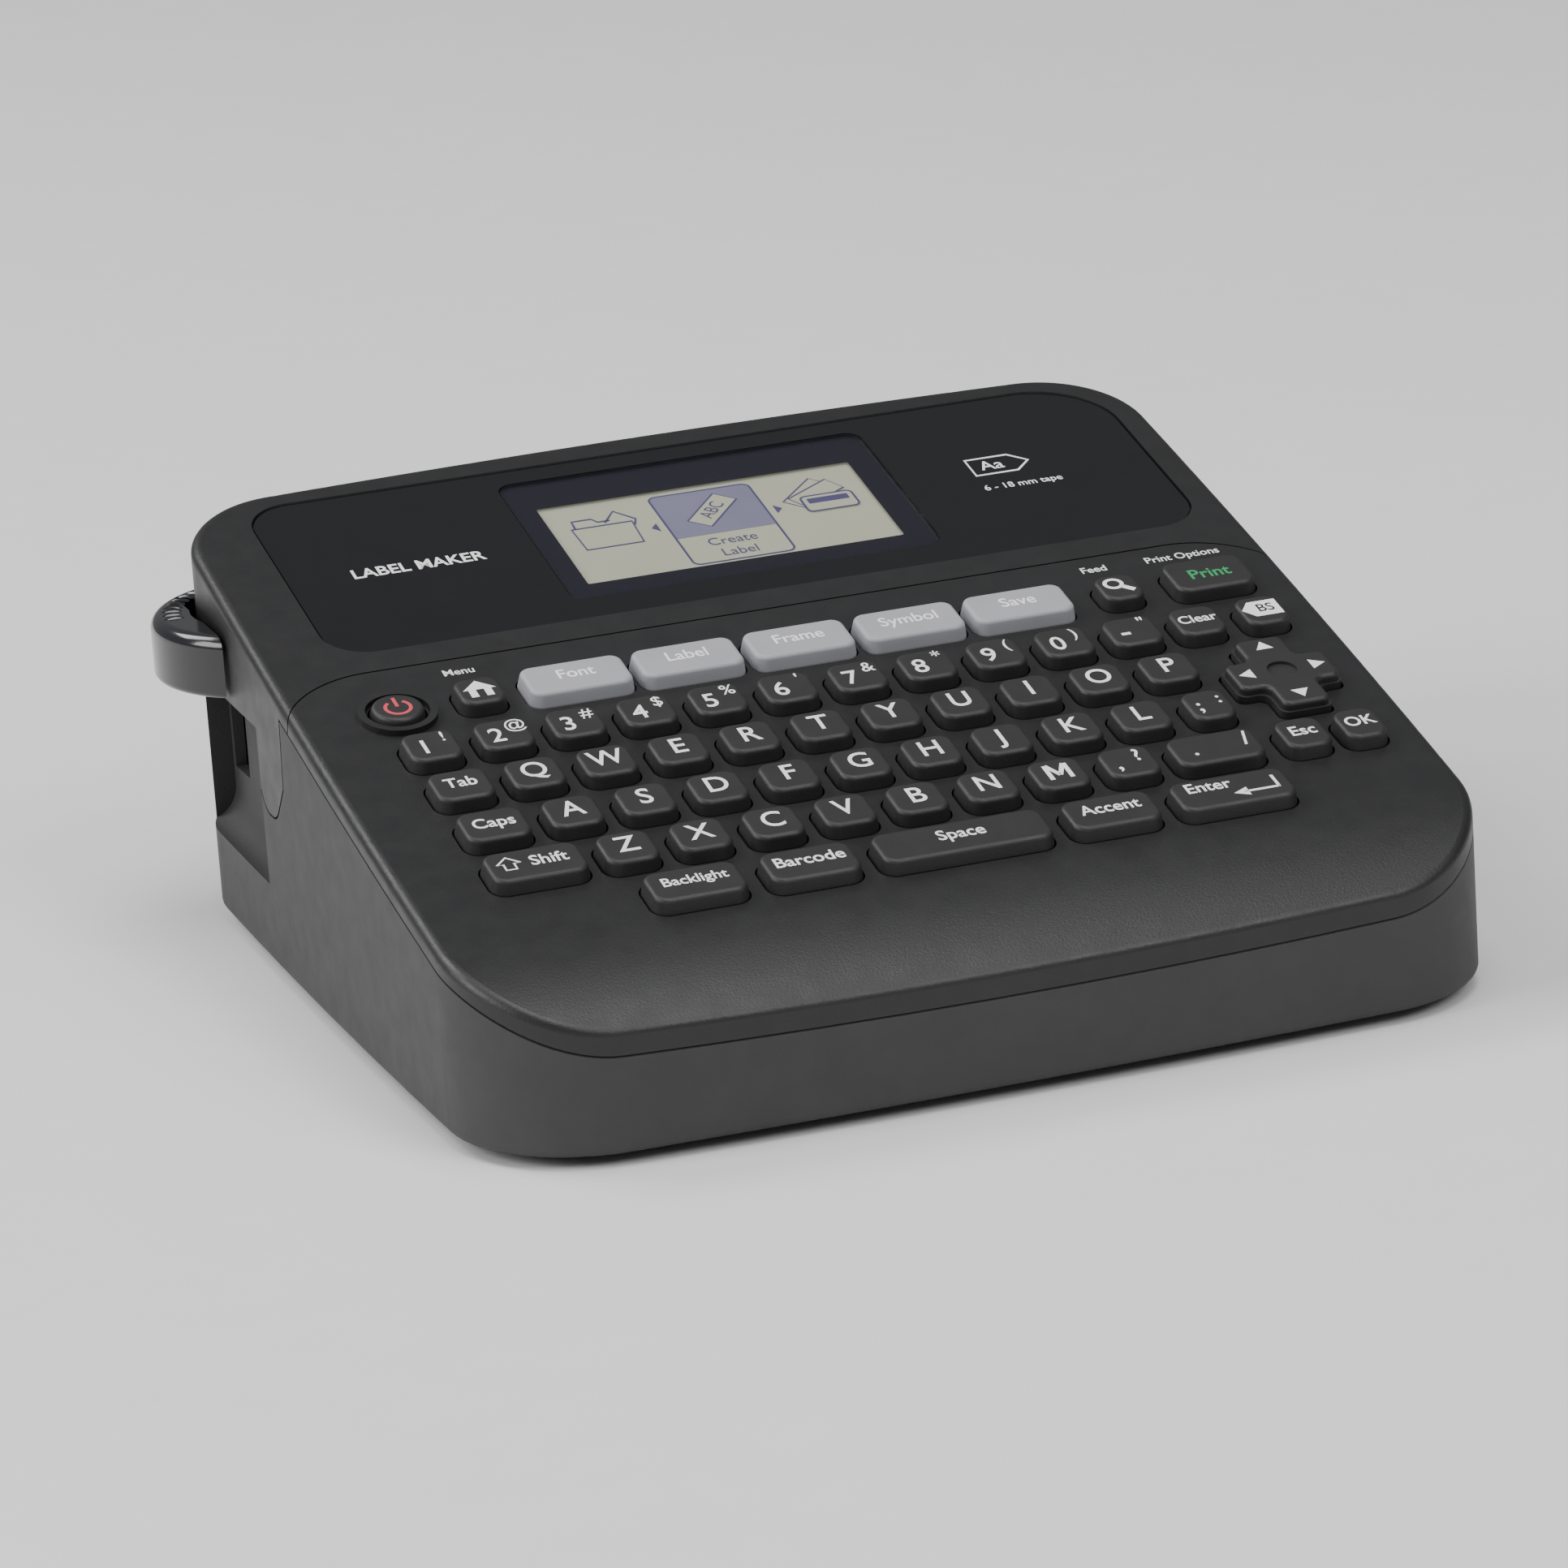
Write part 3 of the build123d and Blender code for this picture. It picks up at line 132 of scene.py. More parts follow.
# %% The palette
FINISHES = {
    "housing": finish("housing_plastic", (0.034, 0.034, 0.0345), 0.62, 0.5, 0.8),
    "deck": finish("deck_plastic", (0.0105, 0.0105, 0.011), 0.44, 0.4, 0.75),
    "fascia": finish("fascia_gloss", (0.006, 0.006, 0.007), 0.22, 0.8, 0.03, rough_play=0.03),
    "key_rubber": finish("key_silicone", (0.0165, 0.016, 0.0155), 0.52, 0.28, 0.40),
    "grey_key": finish("grey_silicone", (0.33, 0.33, 0.35), 0.52, 0.28, 0.25, cloud=0.03),
    "lcd": finish("display_module", (0.30, 0.31, 0.28), 0.45, 0.5, 0.1),
    "board": finish("solder_mask", (0.02, 0.16, 0.06), 0.35, 1.2, 0.2),
    "frame_plastic": finish("chassis_plastic", (0.05, 0.05, 0.055), 0.5, 0.5, 0.3),
    "ceramic": finish("head_ceramic", (0.72, 0.70, 0.64), 0.4, 0.3, 0.1),
    "heat_sink": finish("sink_aluminium", (0.72, 0.73, 0.75), 0.38, 0.3, 0.2, metal=1.0),
    "steel": finish("plain_steel", (0.56, 0.56, 0.58), 0.32, 0.25, 0.2, metal=1.0),
    "gear_plastic": finish("acetal", (0.80, 0.79, 0.73), 0.38, 0.4, 0.1, cloud=0.04),
    "roller_rubber": finish("ground_rubber", (0.03, 0.03, 0.032), 0.75, 0.2, 0.6),
    "cassette": finish("cassette_grey", (0.20, 0.195, 0.19), 0.5, 0.4, 0.35),
    "tape": finish("laminated_film", (0.82, 0.83, 0.84), 0.25, 2.0, 0.05, cloud=0.03),
    "ribbon": finish("ink_film", (0.012, 0.012, 0.016), 0.2, 2.0, 0.05),
    "lever": finish("lever_gloss", (0.012, 0.012, 0.014), 0.18, 0.8, 0.03, coat=0.4),
    "battery": finish("battery_wrap", (0.09, 0.10, 0.13), 0.32, 0.8, 0.05),
    "socket": finish("socket_plastic", (0.012, 0.012, 0.013), 0.42, 0.3, 0.2),
    "foot_rubber": finish("foot_rubber", (0.022, 0.022, 0.022), 0.8, 0.25, 0.7),
    "screw": finish("black_zinc", (0.05, 0.05, 0.055), 0.35, 0.3, 0.2, metal=1.0),
    "window": finish("window_clear", (0.02, 0.02, 0.025), 0.05, 3.0, 0.01),
}
slot_of = {s["node"]: s["material_slot"] for s in frame["record"]["subparts"]}
for name, node in nodes.items():
    node.data.materials.clear()
    node.data.materials.append(FINISHES[slot_of[name]])
print("finishes", len(FINISHES), "on", len(nodes), "nodes")

# %% [markdown]
# Printing. Every legend on the machine is a thin layer of ink, so one helper collects shapes for
# each moving body and each ink and turns them into one mesh. A shape is a flat outline given in
# millimetres on the deck, raised a few hundredths so that it reads as print and not as a sticker.

# %% Ink helpers
INKS = {
    "white": finish("ink_white", (0.86, 0.86, 0.85), 0.45, 0.2, 0.1, cloud=0.03),
    "red": finish("ink_red", (0.62, 0.06, 0.09), 0.45, 0.2, 0.1, cloud=0.05),
    "green": finish("ink_green", (0.02, 0.30, 0.10), 0.45, 0.2, 0.1, cloud=0.05),
    "black": finish("ink_black", (0.015, 0.015, 0.017), 0.5, 0.2, 0.1, cloud=0.05),
    "pixel": finish("display_pixel", (0.13, 0.115, 0.27), 0.4, 0.3, 0.05, cloud=0.05),
    "pale_pixel": finish("display_pale_pixel", (0.33, 0.32, 0.46), 0.4, 0.3, 0.05, cloud=0.05),
}
INK_THICK = 0.03
prints = {}


def ink_shape(body, ink, outline, height):
    """Adds one closed outline, a list of (across, up) in millimetres, at this height."""
    verts, faces = prints.setdefault((body, ink), ([], []))
    start, count = len(verts), len(outline)
    verts.extend((x, y, height + INK_THICK) for x, y in outline)
    verts.extend((x, y, height - INK_THICK) for x, y in outline)
    faces.append(list(range(start, start + count)))
    for n in range(count):
        m = (n + 1) % count
        faces.append([start + n, start + count + n, start + count + m, start + m])


def ink_band(body, ink, line, width, height, closed=False):
    """Adds a stroke of constant width along a line of points."""
    half = width / 2
    count = len(line)
    sides = []
    for n in range(count):
        before = Vector(line[n - 1 if n or closed else 0])
        after = Vector(line[(n + 1) % count if n + 1 < count or closed else n])
        run = (after - before).normalized()
        aside = Vector((-run.y, run.x)) * half
        sides.append((Vector(line[n]) + aside, Vector(line[n]) - aside))
    for n in range(count if closed else count - 1):
        a, b = sides[n], sides[(n + 1) % count]
        ink_shape(body, ink, [a[1], b[1], b[0], a[0]], height)


def arc(x, y, radius, start, end, steps=28):
    """Points along an arc, in degrees from the across direction."""
    return [(x + radius * math.cos(math.radians(start + (end - start) * n / steps)),
             y + radius * math.sin(math.radians(start + (end - start) * n / steps)))
            for n in range(steps + 1)]


def ink_text(body, ink, words, across, up, cap, height, turn=0.0, stretch=0.88, bold=0.010):
    """Adds words, centred at this place, with capitals `cap` millimetres high."""
    curve = bpy.data.curves.new("words", "FONT")
    curve.body = words
    curve.align_x, curve.align_y = "CENTER", "CENTER"
    curve.offset = bold
    curve.resolution_u = 5
    carrier = bpy.data.objects.new("words", curve)
    bpy.context.scene.collection.objects.link(carrier)
    bpy.context.view_layer.update()
    flat = bpy.data.meshes.new_from_object(carrier.evaluated_get(
        bpy.context.evaluated_depsgraph_get()))
    size = cap / 0.70                       # the built-in font's capitals are 0.70 of its size
    rotation = Matrix.Rotation(math.radians(turn), 3, "Z")
    verts, faces = prints.setdefault((body, ink), ([], []))
    start = len(verts)
    for v in flat.vertices:
        spot = rotation @ Vector((v.co.x * size * stretch, v.co.y * size, 0))
        verts.append((across + spot.x, up + spot.y, height + INK_THICK))
    faces.extend([start + i for i in p.vertices] for p in flat.polygons)
    bpy.data.objects.remove(carrier)
    bpy.data.curves.remove(curve)
    bpy.data.meshes.remove(flat)


def placed(points, angle, x, y):
    """Points turned by an angle in degrees about the origin, then moved to this place."""
    c, s = math.cos(math.radians(angle)), math.sin(math.radians(angle))
    return [(x + px * c - py * s, y + px * s + py * c) for px, py in points]


print("inks", sorted(INKS))

# %% [markdown]
# Legends on the keys. The rows keep one column pitch, so a row's letters are one loop. The heights
# follow the key tops: the rubber caps stand 2.6 mm out of the deck.

# %% Key legends
KEY_TOP = 2.6
PITCH = 12.55
FUNCTION_ROW, NUMBER_ROW = 98.3, 83.2
TOP_ROW, MIDDLE_ROW, BOTTOM_ROW, SPACE_ROW = 69.6, 55.8, 42.3, 28.6
NUMBER_FIRST, TOP_FIRST, MIDDLE_FIRST, BOTTOM_FIRST = 18.9, 32.3, 34.2, 39.0   # first column
LETTER, WORD, LONG_WORD = 4.6, 2.9, 2.5     # heights of capitals


def legend(body, words, across, up, cap=LETTER, ink="white", **more):
    ink_text(body, ink, words, across, up, cap, KEY_TOP, **more)


for n, (digit, mark) in enumerate(zip("1234567890", "!@#$%'&*()")):
    across = NUMBER_FIRST + n * PITCH
    legend("number_keys", digit, across - 1.4, NUMBER_ROW - 0.7, 4.3)
    legend("number_keys", mark, across + 2.4, NUMBER_ROW + 1.9, 3.0, bold=0.006)
legend("number_keys", "-", NUMBER_FIRST + 10 * PITCH - 1.6, NUMBER_ROW - 0.4, 5.0)
legend("number_keys", "\"", NUMBER_FIRST + 10 * PITCH + 2.4, NUMBER_ROW + 2.0, 3.0)
for row, first, up, letters in (("top_letter_keys", TOP_FIRST, TOP_ROW, "QWERTYUIOP"),
                                ("middle_letter_keys", MIDDLE_FIRST, MIDDLE_ROW, "ASDFGHJKL"),
                                ("bottom_letter_keys", BOTTOM_FIRST, BOTTOM_ROW, "ZXCVBN")):
    for n, letter in enumerate(letters):
        legend(row, letter, first + n * PITCH, up + 0.3)
m_x, m_up, m_half, m_rise = BOTTOM_FIRST + 6 * PITCH, BOTTOM_ROW + 0.3, 1.75, LETTER / 2
for leg in (-m_half, m_half):               # the M is four strokes, which stay open when they are bold
    ink_band("bottom_letter_keys", "white", [(m_x + leg, m_up - m_rise), (m_x + leg, m_up + m_rise)],
             0.8, KEY_TOP)
    ink_band("bottom_letter_keys", "white", [(m_x + leg * 0.9, m_up + m_rise), (m_x, m_up - 1.1)],
             0.8, KEY_TOP + 0.005)
legend("middle_letter_keys", ";", 145.0, MIDDLE_ROW - 0.4, 4.0)
legend("middle_letter_keys", ":", 149.0, MIDDLE_ROW + 1.2, 3.4)
legend("bottom_letter_keys", ",", BOTTOM_FIRST + 7 * PITCH - 2.2, BOTTOM_ROW - 0.6, 4.0)
legend("bottom_letter_keys", "?", BOTTOM_FIRST + 7 * PITCH + 1.8, BOTTOM_ROW + 1.2, 3.6)
legend("bottom_letter_keys", ".", 138.4, BOTTOM_ROW - 0.2, 4.0)
legend("bottom_letter_keys", "/", 148.0, BOTTOM_ROW + 0.8, 4.2)
for body, words, across, up in (("shift_keys", "Tab", 19.6, TOP_ROW + 0.3),
                                ("shift_keys", "Caps", 20.7, MIDDLE_ROW + 0.2),
                                ("shift_keys", "Shift", 25.6, BOTTOM_ROW + 0.2),
                                ("escape_and_ok_keys", "Esc", 158.2, BOTTOM_ROW + 0.2),
                                ("escape_and_ok_keys", "OK", 168.6, BOTTOM_ROW + 0.2),
                                ("mode_keys", "Backlight", 45.8, SPACE_ROW + 0.6),
                                ("mode_keys", "Barcode", 65.5, SPACE_ROW + 0.6),
                                ("mode_keys", "Accent", 118.0, SPACE_ROW + 0.6),
                                ("space_key", "Space", 91.8, SPACE_ROW + 0.6),
                                ("enter_key", "Enter", 135.8, SPACE_ROW + 1.7),
                                ("clear_and_backspace_keys", "Clear", 156.4, NUMBER_ROW + 0.2)):
    size = LONG_WORD if words in ("Backlight", "Clear") else WORD
    legend(body, words, across, up, size, bold=0.016)
legend("print_key", "Print", 164.8, FUNCTION_ROW - 0.4, 3.1, "green", bold=0.016)
for n, (words, across) in enumerate(zip(("Font", "Label", "Frame", "Symbol", "Save"),
                                        (49.2, 69.1, 89.2, 109.3, 129.4))):
    legend(f"function_key_{n + 1}", words, across, FUNCTION_ROW + 0.4, WORD, bold=0.012)
print("bodies with legends", len({body for body, ink in prints}))

# %% [markdown]
# Signs on the keys. A power sign, a house, a magnifier, a backspace plate, four cursor arrows, the
# return arrow and the shift arrow are each a few strokes, so they are drawn with the same ink.

# %% Key signs
power_x, power_up = 17.7, FUNCTION_ROW
POWER_TOP = KEY_TOP - 0.8                   # the power key is lower than the others
ink_band("power_key", "red", arc(power_x, power_up - 0.3, 2.15, 125, 415), 0.62,
         POWER_TOP)
ink_shape("power_key", "red", [(power_x - 0.31, power_up), (power_x + 0.31, power_up),
                               (power_x + 0.31, power_up + 3.0), (power_x - 0.31, power_up + 3.0)],
          POWER_TOP)
home_x = 32.1
ink_shape("home_key", "white", [(home_x - 2.9, FUNCTION_ROW), (home_x + 2.9, FUNCTION_ROW),
                                (home_x, FUNCTION_ROW + 2.9)], KEY_TOP)
for side in (-1, 1):
    x0, x1 = sorted((home_x + side * 0.7, home_x + side * 2.0))
    ink_shape("home_key", "white", [(x0, FUNCTION_ROW - 2.4), (x1, FUNCTION_ROW - 2.4),
                                    (x1, FUNCTION_ROW), (x0, FUNCTION_ROW)], KEY_TOP)
lens_x, lens_up = 147.4, FUNCTION_ROW + 1.0
ink_band("preview_key", "white", arc(lens_x, lens_up, 1.5, 0, 360)[:-1], 0.7, KEY_TOP, closed=True)
ink_band("preview_key", "white", [(lens_x + 1.2, lens_up - 1.2), (lens_x + 2.9, lens_up - 2.9)],
         1.1, KEY_TOP)
plate_x = 168.4
ink_shape("clear_and_backspace_keys", "white",
          [(plate_x - 3.6, NUMBER_ROW + 0.2), (plate_x - 1.8, NUMBER_ROW - 2.3),
           (plate_x + 3.3, NUMBER_ROW - 2.3), (plate_x + 3.3, NUMBER_ROW + 2.7),
           (plate_x - 1.8, NUMBER_ROW + 2.7)], KEY_TOP)
ink_text("clear_and_backspace_keys", "black", "BS", plate_x + 0.7, NUMBER_ROW + 0.2, 2.5,
         KEY_TOP + 0.02, bold=0.01)
cursor_x, cursor_up = 163.2, 62.6
for turn, reach in ((0, 6.4), (90, 8.3), (180, 6.4), (270, 8.3)):
    arrow = [(reach + 1.5, 0), (reach - 1.1, 1.55), (reach - 1.1, -1.55)]
    ink_shape("cursor_key", "white", placed(arrow, turn, cursor_x, cursor_up), KEY_TOP * 1.05)
turn_x, turn_up = 145.6, SPACE_ROW - 1.6
ink_band("enter_key", "white", [(turn_x - 4.6, turn_up), (turn_x + 1.9, turn_up)], 0.55, KEY_TOP)
ink_band("enter_key", "white", [(turn_x + 1.65, turn_up - 0.27), (turn_x + 1.65, turn_up + 3.6)],
         0.55, KEY_TOP)
ink_shape("enter_key", "white", [(turn_x - 6.4, turn_up), (turn_x - 3.8, turn_up - 1.3),
                                 (turn_x - 3.8, turn_up + 1.3)], KEY_TOP)
shift_x, shift_up = 18.9, BOTTOM_ROW + 0.2
ink_band("shift_keys", "white",
         [(shift_x, shift_up + 2.2), (shift_x - 2.0, shift_up + 0.2), (shift_x - 0.9, shift_up + 0.2),
          (shift_x - 0.9, shift_up - 1.6), (shift_x + 0.9, shift_up - 1.6),
          (shift_x + 0.9, shift_up + 0.2), (shift_x + 2.0, shift_up + 0.2)], 0.4, KEY_TOP, closed=True)
print("outlines on keys", sum(len(faces) for verts, faces in prints.values()))

# %% [markdown]
# Captions beside the keys, and a plain mark on the display surround. These sit on the covers, which
# don't move, so they ride on the housing.

# %% Captions and mark
CAPTION_UP = 109.4
for words, across in (("Menu", 32.0), ("Feed", 148.0), ("Print Options", 164.6)):
    ink_text("housing", "white", words, across, CAPTION_UP, 2.0, 0.0, bold=0.012)
FASCIA_TOP = -0.25
ink_text("housing", "white", "LABEL MAKER", 37.0, 147.6, 3.1, FASCIA_TOP, bold=0.02)
tag_x, tag_up = 146.5, 151.5
ink_band("housing", "white", [(tag_x - 5, tag_up - 3), (tag_x + 3, tag_up - 3), (tag_x + 6, tag_up),
                              (tag_x + 3, tag_up + 3), (tag_x - 5, tag_up + 3)], 0.5, FASCIA_TOP,
         closed=True)
ink_text("housing", "white", "Aa", tag_x - 1.0, tag_up, 3.2, FASCIA_TOP)
ink_text("housing", "white", "6 - 18 mm tape", 148.5, 143.6, 1.9, FASCIA_TOP, bold=0.01)
print("faces in print on the covers", len(prints["housing", "white"][1]))

# %% [markdown]
# The display is three layers: a clear pane, a dark printed border on its back, and the pale panel
# with its icons. The pane is thin enough that a plain see-through shader with a little gloss reads
# as acrylic. We build it fresh, with softened edges, in place of the plain block.

# %% Display layers
WINDOW = (92.9, 149.2, 68.3, 43.7)           # centre across, centre up, width, length
PANEL = (92.6, 147.5, 58.6, 28.6)


def rounded(x, y, width, length, radius, steps=6):
    """Points round a rectangle with round corners."""
    points = []
    for cx, cy, start in ((1, 1, 0), (-1, 1, 90), (-1, -1, 180), (1, -1, 270)):
        points += arc(x + cx * (width / 2 - radius), y + cy * (length / 2 - radius), radius,
                      start, start + 90, steps)
    return points


def deck_mesh(name, verts, faces, material, body):
    """A piece whose points are given on the deck in millimetres."""
    mesh = bpy.data.meshes.new(name)
    mesh.from_pydata([DECK @ (Vector(v) * MM) for v in verts], [], faces)
    mesh.materials.append(material)
    mesh.validate()
    mesh.update()
    piece = bpy.data.objects.new(name, mesh)
    bpy.context.scene.collection.objects.link(piece)
    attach(piece, body)
    return piece


def slab(name, outline_rings, material, body="housing"):
    """A closed piece from rings of points, from its top to its underside."""
    count = len(outline_rings[0])
    verts = [p for ring in outline_rings for p in ring]
    faces = [list(range(count))]
    for r in range(len(outline_rings) - 1):
        a, b = r * count, (r + 1) * count
        for n in range(count):
            m = (n + 1) % count
            faces.append([a + n, b + n, b + m, a + m])
    last = (len(outline_rings) - 1) * count
    faces.append([last + n for n in reversed(range(count))])
    return deck_mesh(name, verts, faces, material, body)


def ring_at(shape, inset, height, radius):
    x, y, width, length = shape
    return [(px, py, height) for px, py in rounded(x, y, width - 2 * inset, length - 2 * inset, radius)]


clear = bpy.data.materials.new("pane_acrylic")
clear.use_nodes = True
pane_shader = clear.node_tree.nodes["Principled BSDF"]
pane_noise = clear.node_tree.nodes.new("ShaderNodeTexNoise")
pane_noise.inputs["Scale"].default_value = 60.0
pane_range = clear.node_tree.nodes.new("ShaderNodeMapRange")
pane_range.inputs["To Min"].default_value = 0.03
pane_range.inputs["To Max"].default_value = 0.07
clear.node_tree.links.new(pane_noise.outputs["Fac"], pane_range.inputs["Value"])
clear.node_tree.links.new(pane_range.outputs["Result"], pane_shader.inputs["Roughness"])
pane_shader.inputs["Base Color"].default_value = (0.02, 0.02, 0.03, 1)
pane_shader.inputs["Alpha"].default_value = 0.18
pane = slab("display_pane", [ring_at(WINDOW, 0.5, -0.2, 2.6), ring_at(WINDOW, 0.15, -0.28, 2.7),
                             ring_at(WINDOW, 0, -0.5, 2.8), ring_at(WINDOW, 0, -0.75, 2.8)], clear)
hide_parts("display_window")

border_finish = finish("border_print", (0.014, 0.014, 0.021), 0.25, 2.0, 0.02, rough_play=0.03)
panel_finish = finish("panel_glow", (0.56, 0.57, 0.44), 0.35, 0.3, 0.03, cloud=0.03)
panel_shader = panel_finish.node_tree.nodes["Principled BSDF"]
panel_shader.inputs["Emission Color"].default_value = (0.62, 0.64, 0.46, 1)
panel_shader.inputs["Emission Strength"].default_value = 0.30


def frame_ring(name, outer, inner, height, thick, material):
    """A flat frame with a rectangular hole."""
    a = [(x, y) for x, y in rounded(*outer, 2.6)]
    b = [(x, y) for x, y in rounded(*inner, 0.4)]
    count = len(a)
    verts = [(x, y, height) for x, y in a + b] + [(x, y, height - thick) for x, y in a + b]
    faces = []
    for n in range(count):
        m = (n + 1) % count
        faces.append([n, m, count + m, count + n])
        faces.append([count + n, count + m, 3 * count + m, 3 * count + n])
        faces.append([m, n, 2 * count + n, 2 * count + m])
        faces.append([2 * count + m, 2 * count + n, 3 * count + n, 3 * count + m])
    return deck_mesh(name, verts, faces, material, "housing")


border = frame_ring("display_border", (WINDOW[0], WINDOW[1], WINDOW[2] - 0.6, WINDOW[3] - 0.6),
                    PANEL, -0.88, 0.08, border_finish)
glow = slab("display_glow", [ring_at(PANEL, -0.8, -1.4, 0.5), ring_at(PANEL, -0.8, -1.6, 0.5)],
            panel_finish)
print("display layers", [piece.name for piece in (pane, border, glow)])

# %% [markdown]
# Icons on the display. They are the plain pictures any such menu has: a folder, a tag with letters
# in a shaded box that marks the choice, and a pair of cards, with small arrows between them.

# %% Display icons
PX = -1.36


def pixel(line, width=0.45, closed=False, lift=0.0):
    ink_band("housing", "pixel", line, width, PX + lift, closed)


def framed(x, y, width, length, radius, lift=0.0):
    pixel(rounded(x, y, width, length, radius), 0.4, True, lift)


mid_x, mid_up = 92.9, 147.3
box_low, box_high = mid_up - 12.6, mid_up + 13.2
split = mid_up - 2.6
ink_shape("housing", "pale_pixel",
          [(mid_x - 9.3, split), (mid_x + 9.3, split), (mid_x + 9.3, box_high - 1),
           (mid_x + 8.3, box_high), (mid_x - 8.3, box_high), (mid_x - 9.3, box_high - 1)], PX - 0.01)
framed(mid_x, (box_low + box_high) / 2, 18.8, box_high - box_low, 1.4)
tag = [(-5.6, -2.3), (5.6, -2.3), (5.6, 2.3), (-5.6, 2.3)]
TAG_LEAN = 48
tag_at = (mid_x + 0.2, mid_up + 5.6)
turned = placed(tag, TAG_LEAN, *tag_at)
ink_shape("housing", "panel", turned, PX + 0.01)
pixel(turned, 0.35, True, 0.04)
ink_text("housing", "pixel", "ABC", *tag_at, 2.6, PX + 0.05, turn=TAG_LEAN, bold=0.0)
ink_text("housing", "pixel", "Create", mid_x, mid_up - 5.6, 2.6, PX, bold=0.0)
ink_text("housing", "pixel", "Label", mid_x, mid_up - 9.8, 2.6, PX, bold=0.0)
for side in (-1, 1):
    tip = mid_x + side * 12.2
    ink_shape("housing", "pixel", [(tip, mid_up + 2.5), (tip - side * 1.3, mid_up + 2.5 + side * 1.5),
                                   (tip - side * 1.3, mid_up + 2.5 - side * 1.5)], PX)
folder_x, folder_up = 73.0, mid_up + 3.4
pixel([(folder_x - 5.6, folder_up - 5), (folder_x + 4.9, folder_up - 5),
       (folder_x + 5.3, folder_up + 2.8), (folder_x - 5.9, folder_up + 2.8)], closed=True)
pixel([(folder_x - 5.2, folder_up + 2.8), (folder_x - 5.0, folder_up + 5.6),
       (folder_x - 1.4, folder_up + 5.6), (folder_x - 0.6, folder_up + 4.2),
       (folder_x + 1.6, folder_up + 4.2)])
pixel([(folder_x + 0.6, folder_up + 3.6), (folder_x + 3.2, folder_up + 7.2),
       (folder_x + 6.2, folder_up + 3.4), (folder_x + 5.4, folder_up + 1.4)])
card_x, card_up = 112.6, mid_up + 3.8
for n, lean in enumerate((44, 30)):
    corners = [(-5.0, -2.2), (5.0, -2.2), (5.0, 2.2), (-5.0, 2.2)]
    card = placed(corners, lean, card_x - 1.4 + 1.5 * n, card_up + 2.6 - 0.6 * n)
    ink_shape("housing", "panel", card, PX + 0.06 * n)
    pixel(card, 0.35, True, 0.06 * n + 0.03)
FRONT = 0.14                                # the front card lies over the two behind it
ink_shape("housing", "panel", rounded(card_x + 1.4, card_up - 1.6, 9.6, 5.6, 1.0), PX + FRONT)
framed(card_x + 1.4, card_up - 1.6, 9.6, 5.6, 1.0, FRONT + 0.03)
ink_shape("housing", "pixel", [(card_x - 2.4, card_up - 1.6), (card_x + 5.2, card_up - 1.6),
                               (card_x + 5.2, card_up + 0.2), (card_x - 2.4, card_up + 0.2)],
          PX + FRONT + 0.04)
INKS["panel"] = panel_finish
print("display outlines", len(prints["housing", "pixel"][1]))

# %% [markdown]
# All the ink is still lists of points. Each body gets one mesh for each of its inks, so that a key's
# legend goes down with the key, and the whole print is a few dozen pieces and not hundreds.

# %% Turn the prints into pieces
for (body, ink), (verts, faces) in sorted(prints.items()):
    label = body if body != "housing" else "cover"
    deck_mesh(f"{label}_{ink}_print", verts, faces, INKS[ink], body)
print("prints", len(prints))

# %% [markdown]
# The cutter lever has a thumb pad: short ridges across its top that stop a finger from sliding. Each
# ridge is a bar with a rounded back, fanned round the lever's corner, and it rides on the lever.

# %% Thumb pad ridges
lever_low, lever_high = (Vector(v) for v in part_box("cutter_lever"))
LEVER_RADIUS = 22.0
lever_x = lever_low.x / MM + LEVER_RADIUS
lever_y = lever_high.y / MM - LEVER_RADIUS
ridge_verts, ridge_faces = [], []
for n in range(9):
    angle = math.radians(118 + n * 7.5)
    out = Vector((math.cos(angle), math.sin(angle), 0))
    side = Vector((-out.y, out.x, 0))
    for step in range(13):
        share = step / 12
        along = 16.4 + share * 3.4
        for k in range(7):
            across = (k / 6 - 0.5) * 1.1
            ends = math.sin(math.pi * min(max(share, 0.02), 0.98)) ** 0.4
            rise = 0.42 * math.sin(math.pi * k / 6) * ends
            spot = Vector((lever_x, lever_y, lever_high.z / MM - 0.05)) + out * along + side * across
            ridge_verts.append((spot + Vector((0, 0, rise))) * MM)
    base = n * 13 * 7
    for step in range(12):
        for k in range(6):
            a = base + step * 7 + k
            ridge_faces.append([a, a + 1, a + 8, a + 7])
ridges = bpy.data.meshes.new("thumb_ridges")
ridges.from_pydata(ridge_verts, [], ridge_faces)
ridges.materials.append(FINISHES["lever"])
ridges.shade_smooth()
ridge_piece = bpy.data.objects.new("thumb_ridges", ridges)
bpy.context.scene.collection.objects.link(ridge_piece)
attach(ridge_piece, "cutter_lever")
print("thumb ridges", len(ridges.vertices), "points")

# %% [markdown]
# The studio. Black plastic only shows its form through what it mirrors, so the four lamps are large
# and soft: one behind on the left rakes the deck, one on the left opens up the side wall, one in
# front lifts the palm rest, and one above fills. None stands where the display would mirror it.

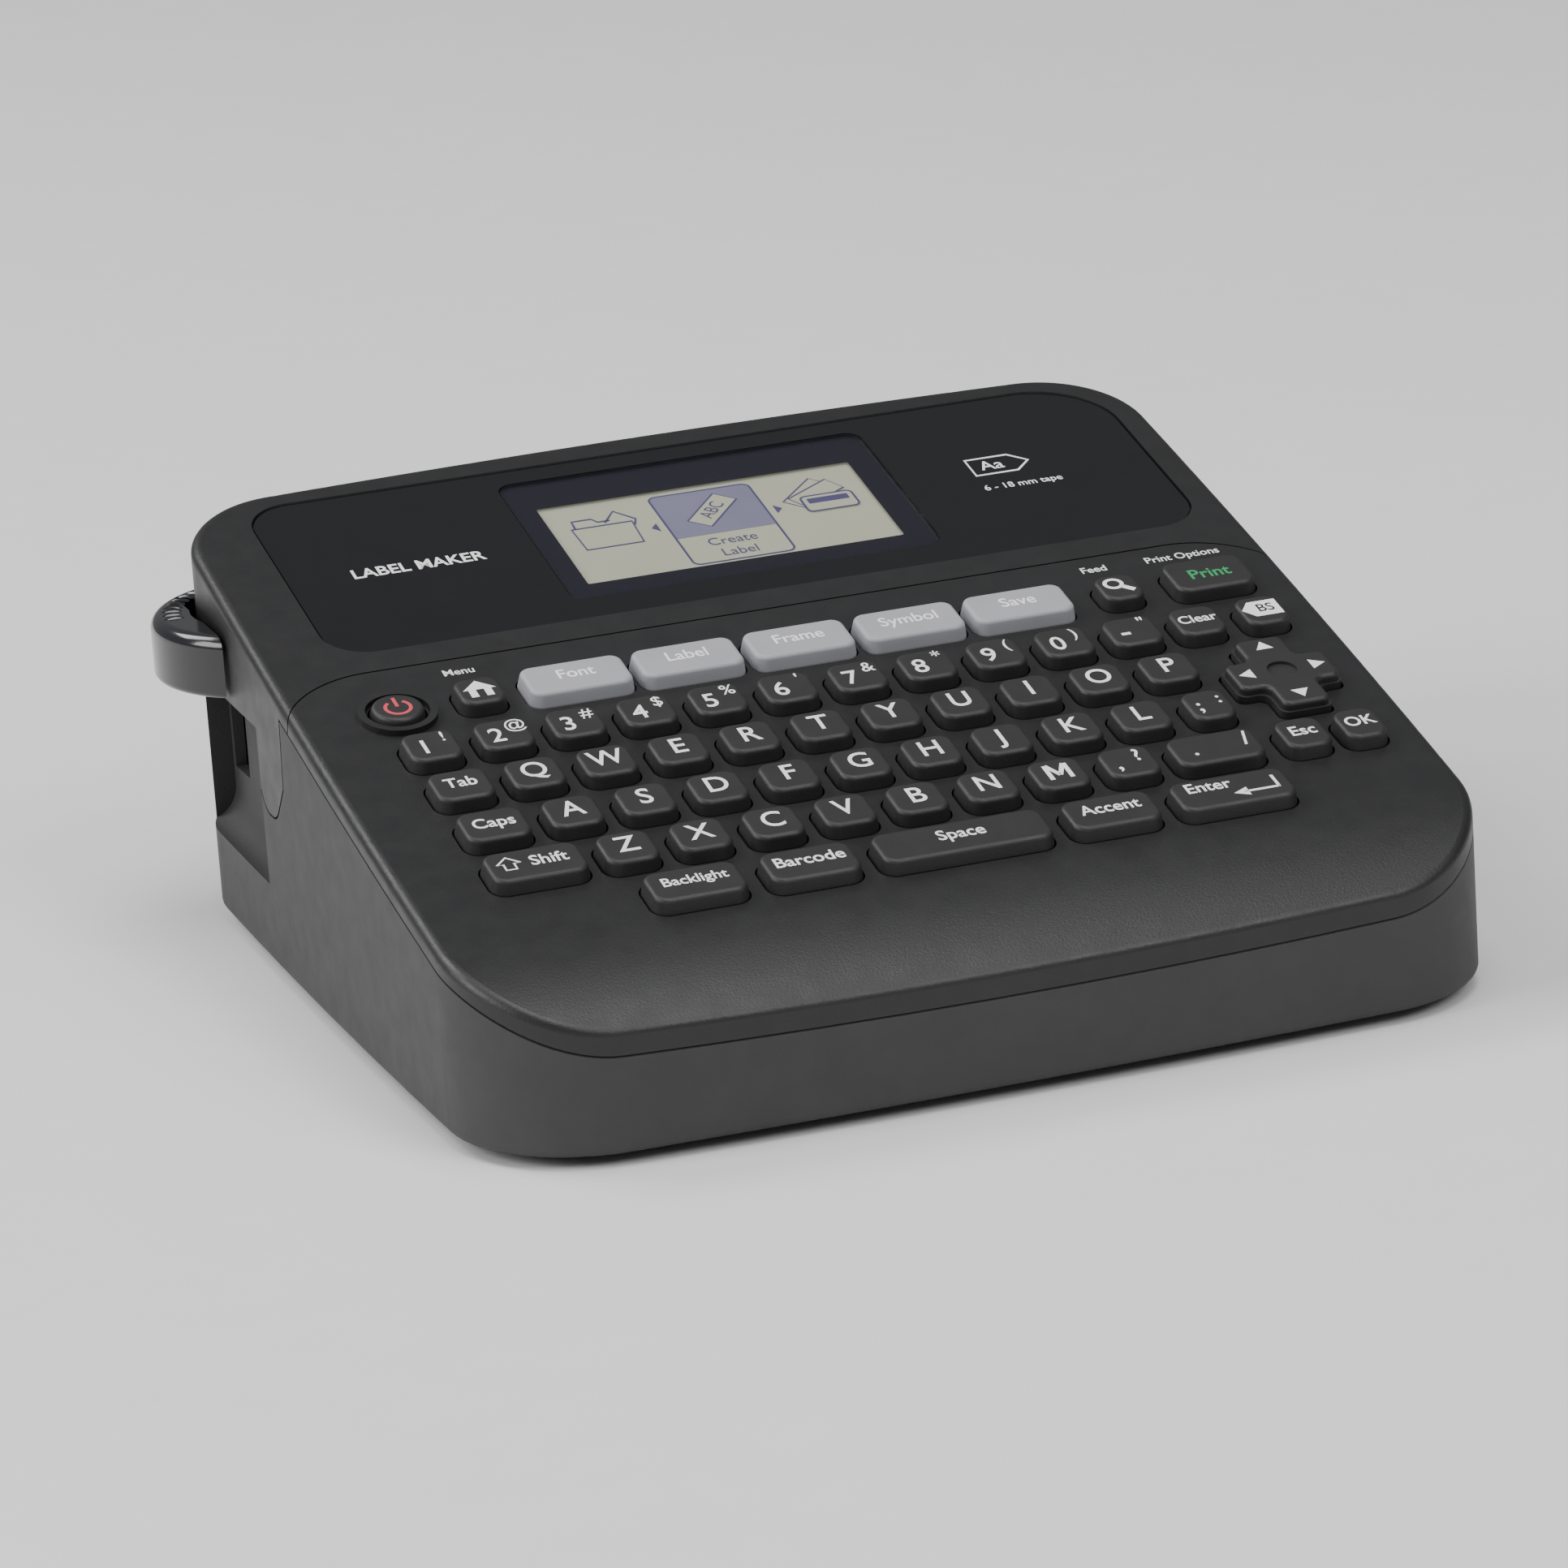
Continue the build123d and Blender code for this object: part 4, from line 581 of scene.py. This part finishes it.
# %% Floor and light
floor_mat = finish("floor_paper", (0.74, 0.74, 0.73), 0.85, 1.0, 0.05, cloud=0.01)
floor_mesh = bpy.data.meshes.new("floor")
HALF = 6.0
floor_mesh.from_pydata([(-HALF, -HALF, 0), (HALF, -HALF, 0), (HALF, HALF, 0), (-HALF, HALF, 0)],
                       [], [[0, 1, 2, 3]])
floor_mesh.materials.append(floor_mat)
floor = bpy.data.objects.new("floor", floor_mesh)
bpy.context.scene.collection.objects.link(floor)
middle = Vector((0.0, 0.0, 0.035))


def softbox(name, place, size, power, color=(1, 1, 1)):
    """A square lamp that faces the machine."""
    lamp = bpy.data.lights.new(name, "AREA")
    lamp.size = size
    lamp.energy = power
    lamp.color = color
    holder = bpy.data.objects.new(name, lamp)
    holder.location = place
    holder.rotation_euler = (middle - Vector(place)).to_track_quat("-Z", "Y").to_euler()
    bpy.context.scene.collection.objects.link(holder)


softbox("back_panel", (-1.1, 1.2, 1.7), 0.9, 24)
softbox("left_panel", (-1.7, -0.1, 1.0), 1.0, 24)
softbox("front_panel", (0.7, -1.5, 1.5), 1.0, 20)
softbox("top_panel", (0.1, -0.3, 2.1), 1.2, 26)
world = bpy.data.worlds.new("studio")
world.use_nodes = True
world.node_tree.nodes["Background"].inputs["Color"].default_value = (0.9, 0.92, 0.95, 1)
world.node_tree.nodes["Background"].inputs["Strength"].default_value = 0.24
bpy.context.scene.world = world

# %% [markdown]
# The camera stands to the left in front of the machine and looks down on it a little. It is far off
# with a long lens, so the deck's edges stay nearly parallel, and it leans by a few degrees.

# %% Camera
camera_place = Vector((-0.3847, -1.1272, 0.3928))
target = Vector((-0.004, -0.002, 0.031))
look = (target - camera_place).normalized()
LEAN = math.radians(-3.9)
side = look.cross(Vector((0, 0, 1))).normalized()
upright = side.cross(look)
top = (upright * math.cos(LEAN) + side * math.sin(-LEAN)).normalized()
right = look.cross(top)
camera_data = bpy.data.cameras.new("camera")
camera_data.lens = 168
camera_data.sensor_width = 36
camera = bpy.data.objects.new("camera", camera_data)
camera.matrix_world = Matrix.Translation(camera_place) @ Matrix((right, top, -look)).transposed().to_4x4()
bpy.context.scene.collection.objects.link(camera)
bpy.context.scene.camera = camera
print("camera stands", round((camera_place - target).length, 3), "m away")
